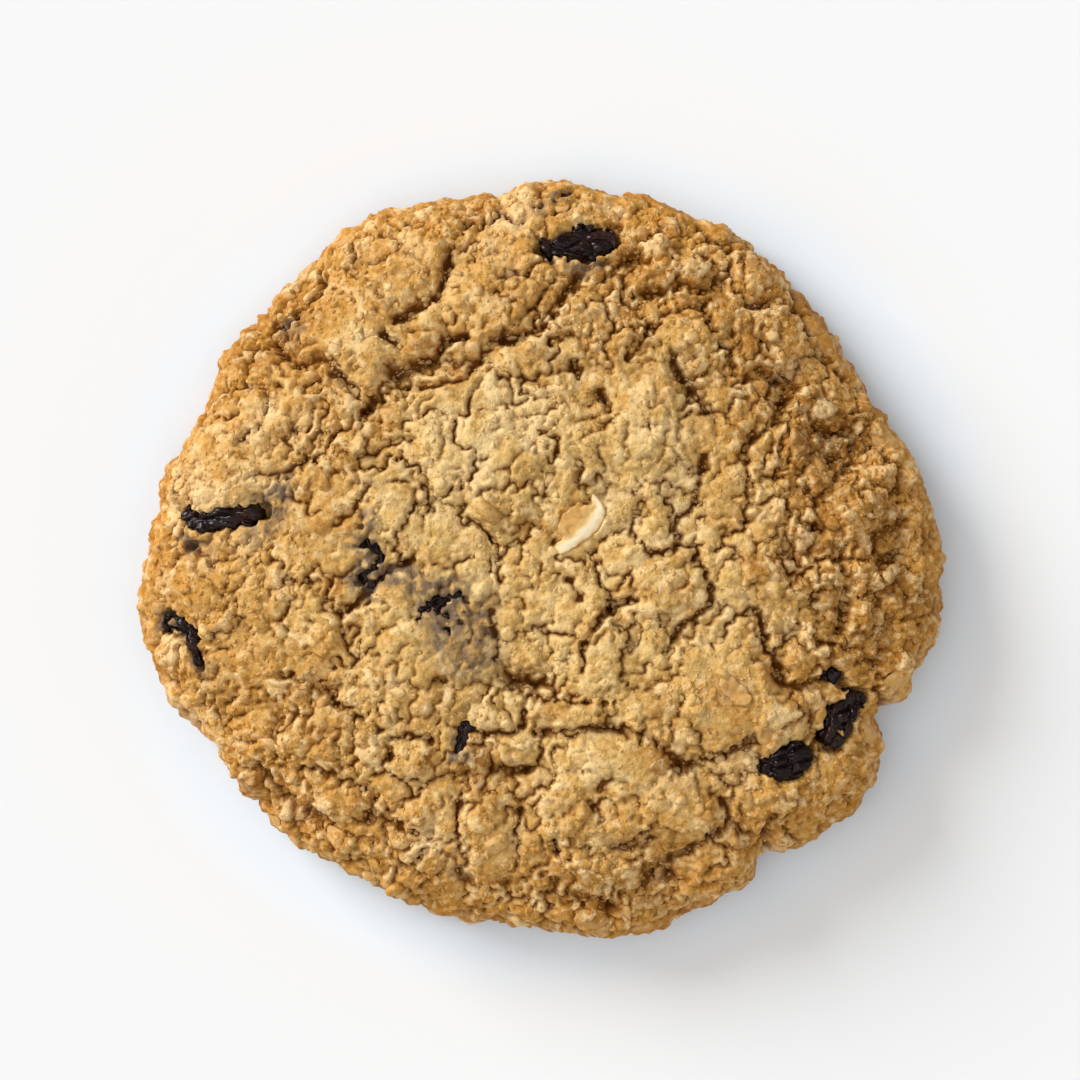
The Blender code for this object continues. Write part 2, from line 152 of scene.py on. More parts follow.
# Cracks of the crust: (depth, half width, points along it).
CRACKS = (
    (2.2, 0.65, ((-32.4, 27.9), (-30, 28.9), (-28, 29.9))),
    (0.9, 0.3, ((-28, 30), (-27, 31.5), (-25.8, 33.5), (-25, 36), (-24.5, 37.5))),
    (0.7, 0.25, ((-24, 34.5), (-22, 35.1), (-21, 36.5))),
    (1.2, 0.55, ((-33, 26), (-31, 25.5), (-30, 24), (-28, 23.3), (-26, 23.8), (-24.8, 22.8))),
    (1.6, 0.7, ((-24.8, 22.8), (-23.6, 21.5), (-22.5, 20.5), (-21.5, 19.4))),
    (1.6, 0.9, ((-21.4, 16.9), (-20, 17.6), (-19.4, 19.5), (-18.3, 21.3))),
    (1.4, 0.5, ((-18.6, 23.2), (-17, 22.2), (-14.5, 23.6), (-12, 24.4), (-11.6, 26.4), (-8, 26.2))),
    (1.2, 0.4, ((-19.4, 18.6), (-16, 20), (-12.5, 20.6), (-9, 21.4), (-7, 23.4), (-5.4, 25.2))),
    (1.5, 0.6, ((-6, 25.6), (-3, 26.6), (0, 27.3), (1.5, 29.5), (3, 31.8), (4.5, 33.8), (6.5, 35.3))),
    (1.4, 0.35, ((-19, 26.9), (-17.8, 26), (-17, 25))),
    (1.4, 0.6, ((-17.4, 28.4), (-15.5, 29.3), (-14, 30.3), (-12.4, 31.6), (-11, 34), (-10.6, 36.5))),
    (1.0, 0.4, ((-10.6, 36.5), (-9, 37.4), (-7, 38))),
    (1.2, 0.45, ((-5.2, 33.3), (-3, 34.3), (-1.5, 34), (-0.3, 35.2), (1.5, 35.6))),
    (0.8, 0.3, ((-2.2, 22.6), (-2.6, 20.6), (-1.6, 19.4))),
    (1.1, 0.45, ((-21.5, 16.2), (-24.6, 15.2), (-25.6, 13), (-27, 12), (-29, 11), (-30.2, 9.8))),
    (0.8, 0.25, ((-33, 20.5), (-32.3, 18), (-33, 16), (-34.5, 14.5), (-36.8, 13.6))),
    (0.7, 0.25, ((-35.5, 20.4), (-34, 20.9), (-32.4, 20.2), (-30.5, 20.8))),
    (0.7, 0.25, ((-29.5, 16.2), (-29, 14.2), (-28, 12.4))),
    (0.8, 0.22, ((-21, 12.6), (-18.5, 13.4), (-16.5, 14), (-14.6, 14.8))),
    (0.8, 0.22, ((-19, 9.7), (-16.2, 9.4), (-15, 7.4), (-13, 6.4), (-12, 5.2))),
    (0.9, 0.35, ((-25, 3.6), (-23.6, 4.4), (-22.4, 6), (-21, 7.6), (-20.4, 9.2))),
    (1.9, 0.5, ((-24, -6.2), (-21.2, -4.8), (-19.6, -3), (-17.6, -1.1), (-15.2, 0))),
    (0.9, 0.28, ((-4.9, -1.4), (-4.8, 0.8), (-5.8, 2.8), (-7.5, 4.4), (-9.3, 5.4))),
    (1.3, 0.5, ((5, 36), (8.8, 35.3), (11.2, 36.4), (13, 35.4))),
    (1.8, 0.5, ((10.4, 31.3), (12, 31.6), (14, 32), (15.4, 31.9))),
    (1.5, 0.5, ((15.3, 32.2), (17, 33.3), (18.2, 32.2), (20, 32.2), (21.2, 33.2))),
    (1.6, 0.4, ((18.7, 31.4), (19.2, 29.5), (20, 28), (21.2, 26.4))),
    (1.3, 0.4, ((21.2, 26.4), (22.8, 24.6), (23, 22.8), (23.8, 21.6))),
    (1.3, 0.45, ((15, 25.4), (16.2, 23.8), (17.2, 21.6), (18.2, 19.8), (19.6, 18), (21.6, 16.6))),
    (1.0, 0.35, ((10.8, 24.6), (12.4, 26.8), (13.8, 27.6))),
    (1.6, 0.6, ((3.5, 23.9), (4.4, 22.4))),
    (1.1, 0.35, ((6.8, 20.2), (8, 18.8), (8.2, 17))),
    (1.2, 0.45, ((12.6, 38.4), (14, 39.2), (15.8, 38.6))),
    (1.4, 0.5, ((19, 40), (21, 38.2), (22.8, 36.8))),
    (1.1, 0.35, ((19.8, 36.4), (20.6, 34.8), (22.6, 34.4))),
    (1.2, 0.4, ((25.4, 30.6), (27, 29.8), (28.6, 30.6), (30.2, 29.8))),
    (1.2, 0.45, ((30, 30.4), (31.5, 28.8), (32, 26), (33.6, 24.3), (35.2, 23.7))),
    (1.4, 0.35, ((36, 22.9), (37.2, 22.3))),
    (0.9, 0.3, ((26.2, 29.4), (26.6, 27), (27.2, 25))),
    (1.3, 0.5, ((23.8, 21.4), (26, 22.4), (28, 21.6), (29.8, 22.4))),
    (1.3, 0.5, ((30.4, 23), (30.2, 21), (29, 19), (28.4, 17))),
    (1.3, 0.45, ((27.2, 15.6), (25.5, 14.5), (24.3, 13.2), (24.6, 11))),
    (0.9, 0.22, ((30, 12.4), (31, 10), (32.4, 7.2))),
    (0.9, 0.22, ((29, 5), (29.4, 8), (30.8, 9.2))),
    (1.2, 0.5, ((33, 16.6), (35.8, 15.4), (37.6, 15.2))),
    (1.3, 0.4, ((37.8, 13.5), (39.8, 14.1), (41.4, 13.2), (42.2, 11.8))),
    (1.2, 0.4, ((43.2, 11.4), (43.4, 8.6))),
    (1.3, 0.5, ((44.4, 5.8), (43.8, 4), (43.1, 2), (43.4, 0), (41, -0.4))),
    (0.9, 0.3, ((34.6, 12.4), (37, 11.8), (38.2, 10.2))),
    (1.3, 0.35, ((30.4, 4.2), (32, 4.3), (33.6, 3.2))),
    (1.3, 0.45, ((29.8, 2.6), (30.3, 0.4), (31.5, -0.6))),
    (1.1, 0.4, ((35.2, 1.6), (36, -1), (36.4, -4), (36, -8), (37, -10.2))),
    (1.3, 0.5, ((19.9, 12.6), (19.5, 10.5), (18.4, 8.6))),
    (1.0, 0.35, ((18.4, 8.6), (18, 6), (16.4, 5), (16.2, 3.4), (17, 2.2))),
    (1.5, 0.5, ((17, 2.2), (15.2, 1.3), (13, 0.7))),
    (0.9, 0.25, ((11.8, 7), (11.5, 5), (10.6, 3.6), (12.2, 1.4))),
    (1.0, 0.25, ((0.5, 15), (2.3, 14.3), (2, 12.5), (1.5, 11.3))),
    (1.0, 0.28, ((4, 12), (5.2, 10.8), (4.6, 9.4), (6.2, 8.2))),
    (0.9, 0.2, ((12.2, 17), (12.6, 16), (13.6, 15.2))),
    (0.9, 0.25, ((25, 10.2), (25.2, 8.2), (24.4, 5.6), (25.6, 4.4), (23.4, 3.8))),
    (0.9, 0.35, ((18.2, 1.6), (18.9, -0.6), (20.2, -2.4))),
    (1.0, 0.35, ((-40.2, -11.3), (-38.6, -11.2), (-37, -10.7))),
    (1.6, 0.35, ((-28.3, -3.1), (-26.8, -3.4))),
    (1.7, 0.35, ((-42.6, 2.0), (-40.9, 1.6))),
    (1.0, 0.35, ((-31.4, -13.6), (-28.5, -14.3), (-26.5, -15), (-25, -16.5), (-23.5, -17.7))),
    (0.8, 0.22, ((-23.5, -17.7), (-21.8, -18.6), (-20, -19.3), (-18.4, -20.6))),
    (1.2, 0.45, ((-18.3, -21.5), (-16, -20.8), (-14, -21.1), (-12.3, -21.7))),
    (1.4, 0.45, ((-17.4, -22.9), (-18.2, -23.8), (-19.2, -24.9))),
    (1.2, 0.5, ((-34.6, -24.4), (-32.8, -26.3), (-31.3, -28.4), (-29, -29.6), (-27, -30.6), (-24, -32))),
    (0.9, 0.35, ((-24, -32), (-21.4, -33.1), (-19.6, -33.6))),
    (1.1, 0.45, ((-29, -24.8), (-26, -25.1), (-24, -26), (-22, -26.8), (-20.4, -27.2), (-19.8, -28.6))),
    (1.1, 0.4, ((-19.8, -28.6), (-20.6, -30.2), (-22, -31.2))),
    (1.4, 0.42, ((-21, -30.9), (-19, -30.5), (-17, -30.9), (-16, -31.9), (-14.4, -32.6))),
    (1.0, 0.3, ((-28.2, -25.8), (-27.3, -27.8))),
    (0.9, 0.28, ((-18, -37), (-15.2, -36.4), (-14.2, -35.1), (-12, -34.9), (-10.2, -35.6))),
    (1.1, 0.3, ((-9.8, -28.2), (-10.1, -31), (-9.9, -34.2), (-9.2, -35.6))),
    (1.5, 0.32, ((-2.4, -29.4), (-2.8, -31.5), (-2.6, -34.6))),
    (1.4, 0.38, ((-5.4, -24.6), (-3, -24.9), (-1, -24.9), (0.4, -23.6), (-0.1, -22))),
    (1.4, 0.42, ((-7.6, -20.6), (-5, -20.6), (-2.6, -20.1), (-1.7, -18.5), (-2.1, -17), (-0.8, -16.2))),
    (1.0, 0.4, ((-0.8, -16.2), (1.6, -16.4), (5, -17), (7.4, -17.2), (8, -19))),
    (1.3, 0.4, ((-1, -20.6), (2, -20.6), (5, -20.1), (7.6, -19.8), (9.4, -20.2))),
    (1.2, 0.5, ((-4.2, -13.4), (-2.4, -14.2), (-1, -15.2), (1, -14.2))),
    (1.1, 0.22, ((-5.8, -5.8), (-5.5, -8), (-5, -10), (-5, -12.4))),
    (0.7, 0.18, ((-5.6, -0.6), (-6.2, -2.6), (-6, -4.6))),
    (0.7, 0.2, ((-0.6, 0.4), (0.4, -1.2), (-0.4, -3.2))),
    (1.4, 0.35, ((-12.8, -14.4), (-11.2, -14.7))),
    (1.0, 0.3, ((-15.2, -26.7), (-14.4, -25.8))),
    (1.1, 0.38, ((-10, -37), (-9, -38.4), (-7.6, -39.4))),
    (1.2, 0.4, ((0.3, -37.5), (1.8, -38.8), (0.6, -40.4), (1.4, -41.8))),
    (1.0, 0.35, ((-5.2, -37.8), (-4, -39.4))),
    (1.0, 0.22, ((0, -1), (2.5, -1.8), (4, -3.5), (5, -4.8))),
    (1.6, 0.45, ((12, -4.4), (9.6, -4.9), (8, -5.6), (7.4, -6.6), (6.4, -8.4), (5.5, -10), (5.2, -13.4))),
    (1.3, 0.42, ((20, -2.4), (20.3, -4), (20, -5.6), (18.5, -7), (16.5, -8), (15.5, -8.6), (15.5, -11))),
    (1.5, 0.45, ((24.8, -6.4), (26, -7), (26.5, -9), (27.2, -10.6), (28.6, -12), (29, -14.6))),
    (1.5, 0.4, ((31.4, -1.6), (32.1, -3.4))),
    (1.2, 0.38, ((29, -14.8), (32, -14.8), (34, -14), (36, -13.9))),
    (1.4, 0.42, ((8.4, -19.8), (10.4, -20.2), (12.6, -20.9), (14.6, -22.2), (16, -23.7))),
    (1.7, 0.6, ((16, -23.7), (16.4, -25))),
    (1.3, 0.4, ((17, -24.6), (18.4, -24), (20.6, -23.4), (23, -22.8), (25.4, -21.2))),
    (1.3, 0.45, ((20.8, -27.4), (22, -28.8), (22.3, -30.6), (21.4, -32), (19.4, -33.6))),
    (1.3, 0.45, ((19.4, -33.6), (17.4, -35), (15, -36.3), (12.6, -36.9))),
    (1.5, 0.38, ((22.6, -31), (24, -32.5), (26.2, -32.8))),
    (2.0, 0.6, ((27.8, -30.4), (27.1, -32), (26.9, -34.4))),
    (1.0, 0.35, ((1.4, -33.4), (2, -35), (3.6, -35.4))),
    (1.0, 0.28, ((5, -27.8), (6.2, -29.2), (7.2, -30.2))),
    (1.2, 0.42, ((8.8, -34), (11.6, -34.5))),
    (1.5, 0.5, ((4, -40.3), (7, -41), (9.4, -42.2))),
    (1.3, 0.45, ((9.6, -40), (11.8, -39.5), (13.2, -38.2), (16, -37.6))),
    (1.8, 0.55, ((39.8, -15.2), (40.9, -17.2), (44, -19))),
)

# Windows in the crust, where a raisin looks out: (depth, half width, points along it).
RAISIN_WINDOWS = (
    (2.6, 1.4, ((0.4, 37.2), (2.0, 37.6))),
    (2.6, 2.1, ((3.7, 38.0), (6.6, 38.2))),
    (2.6, 1.5, ((7.4, 38.3), (8.5, 38.6))),
    (2.4, 0.6, ((-43.9, 8.2), (-43.3, 7.0), (-42.6, 6.3))),
    (2.4, 0.85, ((-42.4, 6.0), (-41.4, 5.0), (-40.2, 4.5), (-39.4, 4.4))),
    (2.4, 1.1, ((-38.6, 4.7), (-37.0, 5.1))),
    (2.4, 1.0, ((-36.6, 5.2), (-34.6, 5.5), (-33.0, 5.9))),
    (1.6, 0.4, ((-33.4, 6.8), (-33.8, 7.6))),
    (2.2, 0.8, ((-42.8, -7.6), (-42.0, -8.4), (-41.4, -9.0))),
    (2.2, 0.5, ((-42.2, -9.2), (-41.6, -10.6), (-40.9, -11.8), (-40.1, -12.9))),
    (1.5, 0.5, ((-45.4, -8.2), (-45.1, -7.1), (-44.4, -6.3), (-43.4, -6.7))),
    (1.5, 0.4, ((-44.4, -8.3), (-43.6, -8.6))),
    (2.6, 1.5, ((37.7, -16.4), (36.6, -17.8))),
    (2.6, 1.6, ((36.2, -18.2), (35.4, -18.6))),
    (2.6, 1.3, ((34.4, -21.0), (35.2, -21.8))),
    (1.2, 0.4, ((36.6, -20.6), (37.4, -19.8))),
    (2.6, 1.1, ((26.9, -24.4), (27.7, -24.4))),
    (2.6, 2.0, ((29.2, -24.1), (30.4, -23.8))),
    (2.4, 0.9, ((31.5, -23.4), (32.1, -23.2))),
    (2.0, 0.9, ((35.5, -14.2), (36.1, -14.6))),
    (2.2, 0.48, ((-8.5, -19.5), (-9.0, -20.4), (-9.3, -21.4), (-9.6, -22.3))),
    (1.4, 0.26, ((-14.4, -7.2), (-14.2, -6.2), (-13.4, -5.5))),
    (1.8, 0.4, ((-12.9, -5.1), (-12.0, -4.9), (-11.2, -4.7))),
    (1.3, 0.24, ((-11.0, -4.3), (-9.8, -4.0), (-9.0, -4.2), (-8.7, -5.0))),
    (1.2, 0.3, ((-12.6, -5.8), (-12.2, -6.0))),
    (1.2, 0.34, ((-11.5, -6.3), (-11.0, -6.8))),
    (1.2, 0.3, ((-9.7, -7.1), (-9.4, -7.5))),
    (1.2, 0.28, ((-11.1, -8.1), (-10.8, -8.7))),
    (1.6, 0.42, ((-20.9, 1.9), (-19.9, 1.7), (-19.1, 0.9), (-19.0, 0.0))),
    (1.6, 0.5, ((-19.6, -0.7), (-20.4, -1.2))),
    (1.8, 0.6, ((-21.0, -1.9), (-21.3, -2.7))),
    (1.4, 0.3, ((-21.4, 4.2), (-20.9, 3.9))),
    (1.0, 0.38, ((1.5, 43.1), (2.4, 43.4), (3.4, 43.9))),
)

# Windows over the chips, and the clean cream edges that they keep there.
CHIP_WINDOWS = (
    (0.5, 1.5, ((3.6, 3.9), (4.9, 5.7))),
    (0.7, 0.95, ((7.0, 7.4), (7.0, 6.2), (6.7, 4.9), (6.0, 3.9), (5.0, 3.1))),
    (0.7, 0.85, ((5.0, 3.1), (3.8, 2.3), (2.6, 1.7), (1.8, 1.4))),
    (0.45, 1.2, ((22.4, -14.8), (23.8, -16.2))),
)
CLEAN_EDGES = (
    (1.0, 0.8, ((7.0, 7.6), (7.1, 6.2), (6.8, 4.9), (6.1, 3.9), (5.1, 3.0))),
    (0.9, 0.7, ((5.1, 3.0), (3.8, 2.1), (2.6, 1.4))),
    (0.4, 0.7, ((2.6, 1.4), (1.4, 0.8))),
    (0.3, 0.5, ((24.4, -14.2), (25.2, -15.4), (25.4, -16.6))),
)

# Places where the crust is a smooth unbroken skin: (x, y, strength, half length, half width, heading).
SMOOTH_SKINS = (
    (22.0, -15.8, 0.8, 6.4, 5.4, -35),
    (3.6, 4.8, 0.8, 4.6, 4.0, 30),
    (-16.8, -2.4, 0.45, 3.0, 1.5, 30),
    (-11.0, -10.0, 0.35, 6.5, 5.0, -20),
    (35.5, -27.0, 0.6, 6.5, 5.0, 30),
    (13.0, -23.6, 0.5, 3.5, 2.4, 5),
    (-41.0, -3.2, 0.7, 3.0, 2.2, -20),
    (-39.5, 9.0, 0.5, 4.5, 3.5, 40),
    (-7.0, -31.4, 0.4, 2.0, 3.0, 0),
)

# Dough that raisin juice has stained, with painted shade round the raisins and a painted shadow under an
# overhang
# beside one of them: (x, y, strength, half length, half width, heading).
STAINS_AND_SHADE = (
    (-11.4, -6.7, 1.0, 3.3, 2.6, 35),
    (-11.5, -3.2, 0.55, 3.6, 1.9, 10),
    (-17.0, -0.9, 1.0, 2.2, 0.5, 20),
    (-17.2, -2.4, 0.6, 2.4, 1.0, 33),
    (-14.0, -2.4, 0.5, 2.2, 1.8, 0),
    (-19.8, 0.6, 1.0, 1.6, 2.6, 20),
    (-21.0, -2.0, 1.0, 1.7, 1.6, 0),
    (-20.6, -4.2, 0.8, 1.0, 1.0, 0),
    (-20.8, 4.6, 0.7, 1.6, 1.5, 0),
    (-23.0, 2.4, 0.4, 1.8, 1.6, 0),
    (-31.2, 7.8, 0.8, 2.2, 2.4, 0),
    (-33.0, 4.0, 0.5, 3.4, 1.4, 20),
    (-40.4, 2.6, 0.7, 2.4, 1.2, 0),
    (-41.0, 1.6, 0.6, 1.4, 0.6, 0),
    (-44.6, -7.4, 1.0, 1.8, 1.7, -40),
    (-43.4, -9.2, 0.7, 1.2, 1.2, -40),
    (-40.8, -11.6, 0.8, 1.0, 2.6, 30),
    (-9.6, -21.2, 0.9, 1.0, 2.2, -25),
    (-9.6, -23.4, 0.5, 1.4, 0.9, 0),
    (-6.6, -6.8, 0.4, 1.8, 3.0, 0),
    (-9.0, -10.5, 0.5, 5.0, 3.4, -20),
    (-19.5, 9.0, 0.35, 1.6, 1.2, 0),
    (4.5, 35.4, 0.6, 4.4, 1.2, 3),
    (0.6, 42.6, 0.35, 1.4, 0.8, 30),
    (1.8, 43.0, 0.8, 1.8, 0.9, 15),
    (-29.4, 28.2, 0.6, 2.2, 1.8, 30),
)

# Patches of the crust that are browner or paler: partly more or less of the oven's heat, partly painted shade
# and
# light that set the crust's broad brightness, darker over much of the right side, away from the key light:
# (x, y, browning, half length, half width, heading). A negative browning is paler than the rest.
BROWNINGS_AND_SHADE = (
    (30.0, 17.0, 0.8, 13.0, 6.5, -55),
    (42.0, 3.0, 0.5, 9.0, 4.5, -80),
    (22.0, 35.0, 0.45, 9.0, 5.0, -40),
    (-30.0, 29.0, 0.6, 6.0, 3.0, 50),
    (-36.0, 23.0, 0.4, 7.0, 2.5, 65),
    (-37.5, 12.0, -0.55, 7.0, 4.5, 55),
    (-18.5, 32.0, -0.2, 6.0, 5.0, 20),
    (-10.0, 14.5, -0.45, 8.0, 4.5, 20),
    (-22.5, 14.5, 0.3, 3.0, 2.2, 30),
    (13.0, 15.8, -0.3, 3.6, 3.2, 0),
    (13.0, -23.4, 0.25, 4.0, 2.4, 5),
    (23.0, -16.0, 0.25, 4.6, 4.4, 0),
    (11.0, -17.4, -0.35, 2.6, 2.2, 0),
    (30.6, -18.0, 0.3, 2.2, 2.6, -20),
    (35.0, -27.0, 0.55, 6.0, 4.0, 40),
    (8.0, -38.5, 0.4, 13.0, 3.6, -4),
    (-29.0, -29.5, 0.45, 9.0, 3.4, -38),
    (-7.0, -31.5, 0.25, 2.0, 3.4, 0),
    (-33.2, -16.2, 0.9, 1.2, 1.1, 0),
    (42.0, -9.0, 0.5, 4.5, 6.5, 0),
    (1.0, -8.5, -0.3, 5.0, 4.0, 0),
    (15.0, -3.0, -0.2, 4.0, 3.0, 0),
    (5.0, 31.0, 0.3, 8.0, 5.0, 10),
    (-44.0, -2.0, 0.3, 2.5, 8.0, 0),
    (32.5, 3.0, 0.6, 10.0, 5.0, -82),
    (34.0, -8.5, 0.5, 5.0, 4.0, 0),
    (41.0, 0.0, 0.4, 8.0, 3.5, 85),
    (-24.0, -19.0, 0.35, 7.0, 6.0, 0),
    (-8.0, -24.0, 0.6, 4.5, 3.0, 0),
    (-23.5, 15.5, 0.35, 5.0, 4.0, 0),
    (-22.0, -8.0, 0.2, 6.0, 4.0, 0),
    (8.5, 28.5, 0.35, 8.0, 5.0, 0),
    (-4.0, 15.5, -0.35, 7.0, 3.6, 10),
    (-41.5, 9.0, -0.5, 4.0, 3.4, 60),
    (16.0, 7.5, -0.3, 4.0, 4.0, 0),
    (9.0, -24.0, -0.25, 4.0, 3.0, 0),
    (-7.5, -33.0, -0.3, 2.4, 3.6, 0),
    (26.2, -15.0, -1.0, 0.9, 2.7, 25),
    (22.4, -15.6, 0.35, 2.6, 2.4, 0),
    (3.2, 4.8, 0.55, 2.8, 2.4, 0),
    (-8.0, 15.5, -0.25, 4.5, 3.6, 0),
    (32.0, -3.0, 0.35, 4.5, 8.0, 0),
    (23.5, -21.0, -0.3, 4.0, 3.0, 0),
    (15.0, -13.5, 0.25, 3.0, 2.6, 0),
    (16.0, -31.0, -0.35, 4.6, 2.8, 12),
    (-8.0, -24.5, 0.35, 3.6, 2.6, 0),
    (16.0, 9.0, -0.25, 3.0, 3.0, 0),
    (12.0, 32.5, 0.3, 7.0, 3.0, 0),
    (39.0, 16.5, 0.7, 3.0, 4.5, -20),
    (33.0, 16.0, 0.3, 4.0, 4.0, 0),
    (24.0, -24.0, -0.3, 4.0, 3.0, 0),
    (24.0, 15.5, -0.25, 3.0, 4.0, 0),
    (-8.0, 10.0, -0.3, 5.0, 5.0, 0),
    (15.0, 8.0, -0.25, 4.0, 3.0, 0),
    (8.0, -24.5, -0.25, 3.0, 3.0, 0),
    (-8.5, -32.0, -0.25, 3.0, 4.0, 0),
    (-4.0, 41.0, -0.35, 5.0, 2.4, 5),
    (-43.0, 10.0, -0.3, 2.5, 6.0, 0),
    (-31.0, -24.5, 0.3, 3.5, 3.0, -30),
    (16.0, 7.5, -0.4, 4.0, 4.0, 0),
    (16.0, 0.0, -0.2, 4.0, 4.0, 0),
    (8.5, -8.0, -0.35, 3.5, 4.0, 0),
    (31.0, 8.0, -0.25, 3.5, 4.0, 0),
    (24.0, -17.0, -0.25, 4.5, 4.0, 0),
    (24.0, -24.0, -0.2, 4.0, 3.5, 0),
    (-16.0, -9.0, -0.25, 4.0, 4.0, 0),
    (-9.0, 16.0, -0.3, 5.0, 4.0, 0),
    (-12.0, 8.0, -0.2, 8.0, 3.5, 0),
    (-31.5, 24.0, -0.3, 3.0, 4.0, 0),
    (0.0, 40.0, -0.35, 5.0, 3.0, 0),
    (-7.0, 40.0, 0.2, 4.0, 3.0, 0),
    (-40.0, -16.0, -0.25, 3.0, 4.0, 0),
    (8.0, -24.0, -0.2, 4.0, 3.5, 0),
    (16.0, -32.0, -0.2, 4.0, 3.5, 0),
    (16.0, -14.5, 0.25, 3.0, 3.0, 0),
)

# Dull tan patches, where the crust stayed soft: (x, y, strength, half length, half width, heading).
DULL_PATCHES = (
    (3.0, 8.5, 0.6, 9.0, 5.0, 15),
    (9.0, -2.0, 0.45, 4.0, 3.0, 0),
    (-9.5, -12.5, 0.55, 6.0, 5.5, -30),
    (-27.0, 13.0, 0.6, 3.2, 2.4, 30),
    (17.4, 22.0, 0.7, 1.8, 4.2, 35),
    (37.0, 12.0, 0.4, 4.0, 3.6, 0),
    (12.6, -26.8, 0.6, 3.6, 1.6, 36),
    (8.0, -34.0, 0.4, 5.0, 3.5, 0),
    (-22.0, -21.0, 0.3, 6.0, 3.0, 0),
    (6.0, 29.0, 0.4, 7.0, 4.0, 0),
    (19.0, -11.5, 0.5, 4.0, 2.4, -20),
    (2.0, -14.5, 0.5, 3.5, 1.6, 0),
)

# Oat flakes that can be told apart: (x, y, length, width, heading).
FLAKES = (
    (6.2, -43.0, 4.6, 2.3, -12),
    (11.2, 1.0, 2.4, 1.6, 55),
    (37.8, 3.9, 3.0, 1.9, 5),
    (4.8, -23.6, 2.8, 2.0, -10),
    (-20.2, 21.0, 3.4, 2.0, 85),
    (23.8, -23.8, 2.6, 2.0, 30),
    (-23.2, 38.2, 2.6, 1.5, 15),
    (-24.2, -33.2, 3.4, 2.4, -50),
    (2.6, 42.2, 1.8, 1.2, 20),
    (-32.0, -31.0, 2.4, 1.8, -30),
    (25.6, 34.4, 3.2, 2.4, -40),
    (38.6, -6.0, 2.6, 2.0, 80),
    (-6.6, 1.0, 2.8, 2.2, 70),
)

# Loose bits on the crust: (how many, their usual size, how widely it varies, height as a share of it, share
# of the height that is sunk, least and most paleness).
CRUMBS = (2400, 0.95, 0.38, 0.6, 0.58, (0.05, 0.55))
BRAN = (7000, 0.5, 0.25, 0.7, 0.6, (0.0, 0.42))

# Finish colours as sRGB hex.
PALE_CRUMB = "#DBB56E"
GOLDEN_CRUST = "#CC913D"
TOASTED_CRUST = "#B57C31"
SCORCHED_CRUST = "#875821"
# Pale oats and crumb, also laid as a painted highlight on raised grains.
PALE_OAT_AND_HIGHLIGHT = "#F2D29A"
DULL_CRUMB = "#AE8E55"
BROWN_RIM = "#AE6C26"
# Darker crumb in cracks, and painted shade in the crust's hollows.
CREVICE_SHADE_BROWN = "#74420A"
# Amber crumb, also laid as painted shade in the grain's pits.
AMBER_GRAIN_AND_PIT_SHADE = "#80501A"
# Raisin stain, also laid as painted shade round the raisins.
RAISIN_STAIN_AND_SHADE = "#786350"
RAISIN_JUICE_AND_SHADOW = "#1F1512"
STRAW_OAT = "#E8C583"
BAKED_OAT = "#C98F45"
RAISIN_SKIN = "#150503"
RAISIN_FLESH = "#361A10"
RAISIN_RED = "#4A2018"
GOLDEN_CHIP = "#D8A257"
MELTED_CHIP = "#E6BF78"
CREAM_CHIP = "#F6E2BA"
PLAIN_PAPER = "#EFEFEF"
COOL_PAPER = "#EAF4FC"

# How far apart the grains of each pattern lie, in millimetres. The pores of raisin skin are drawn about
# three times as coarse as real ones, so that they show.
CRUMB_GRAIN = 0.74
TOAST_PATCH = 3.0
JUICE_SPECK = 0.9
OAT_STREAK = 1.1
RAISIN_BLUSH = 3.8
RAISIN_PORE = 0.67
SCORCH_PATCH = 2.4

# How far some raisins stand proud of the crust, in millimetres. Below 0 they lie under its face, and the
# rest of the raisins lie flush with it.
PROUD = {
    "raisin_veiled": -0.5,
    "raisin_slit": -0.35,
    "raisin_seam": -0.7,
    "raisin_edge": -0.5,
    "raisin_rim": -0.4,
}

# Raisins of which only a thin reddish skin shows.
WARM_SKINS = ("raisin_rim", "raisin_edge")

# The studio's lamps, all soft suns: (name, strength, width of the light, azimuth, elevation).
LAMPS = (
    ("key_light", 3.0, 32, 142, 24),
    ("soft_fill", 0.95, 70, 195, 60),
    ("bounce", 0.45, 70, 335, 50),
)
SKY_STRENGTH = 0.34

# Where the studio's paper is cooler, round the cookie: the tint's end and its full strength, from the
# middle, and how much wider than long it is.
TINT_END = 58.5
TINT_FULL = 47.5
TINT_OVAL = 1.065

# The camera looks straight down at a place in the cookie: that place, how far off it is and how much is
# seen across there, in metres.
CAMERA_AIM = (0, 0.0024, 0.008)
CAMERA_DISTANCE = 0.50
CAMERA_SEES = 0.1296
SENSOR_WIDTH = 36


def srgb(code):
    """The linear colour of an sRGB hex code."""
    parts = [int(code[i : i + 2], 16) / 255 for i in (1, 3, 5)]
    return [p / 12.92 if p <= 0.04045 else ((p + 0.055) / 1.055) ** 2.4 for p in parts] + [1.0]


def smooth_step(low, high, value):
    """0 below low, 1 above high, and smooth between them."""
    share = np.clip((value - low) / (high - low), 0, 1)
    return share * share * (3 - 2 * share)


# ---------------------------------------------------------------- maps of the crust


def lumps(size, seed):
    """A smooth random map whose hills lie about size apart, with a spread of 1."""
    rng = np.random.default_rng(seed)
    waves = np.fft.rfft2(rng.standard_normal((MAP_CELLS, MAP_CELLS)).astype(np.float32))
    down = np.fft.fftfreq(MAP_CELLS, PITCH)[:, None]
    along = np.fft.rfftfreq(MAP_CELLS, PITCH)[None, :]
    pace = np.hypot(down, along) * size
    made = np.fft.irfft2(waves * np.exp(-2.5 * pace**2) * pace, (MAP_CELLS, MAP_CELLS))
    return (made / made.std()).astype(np.float32)


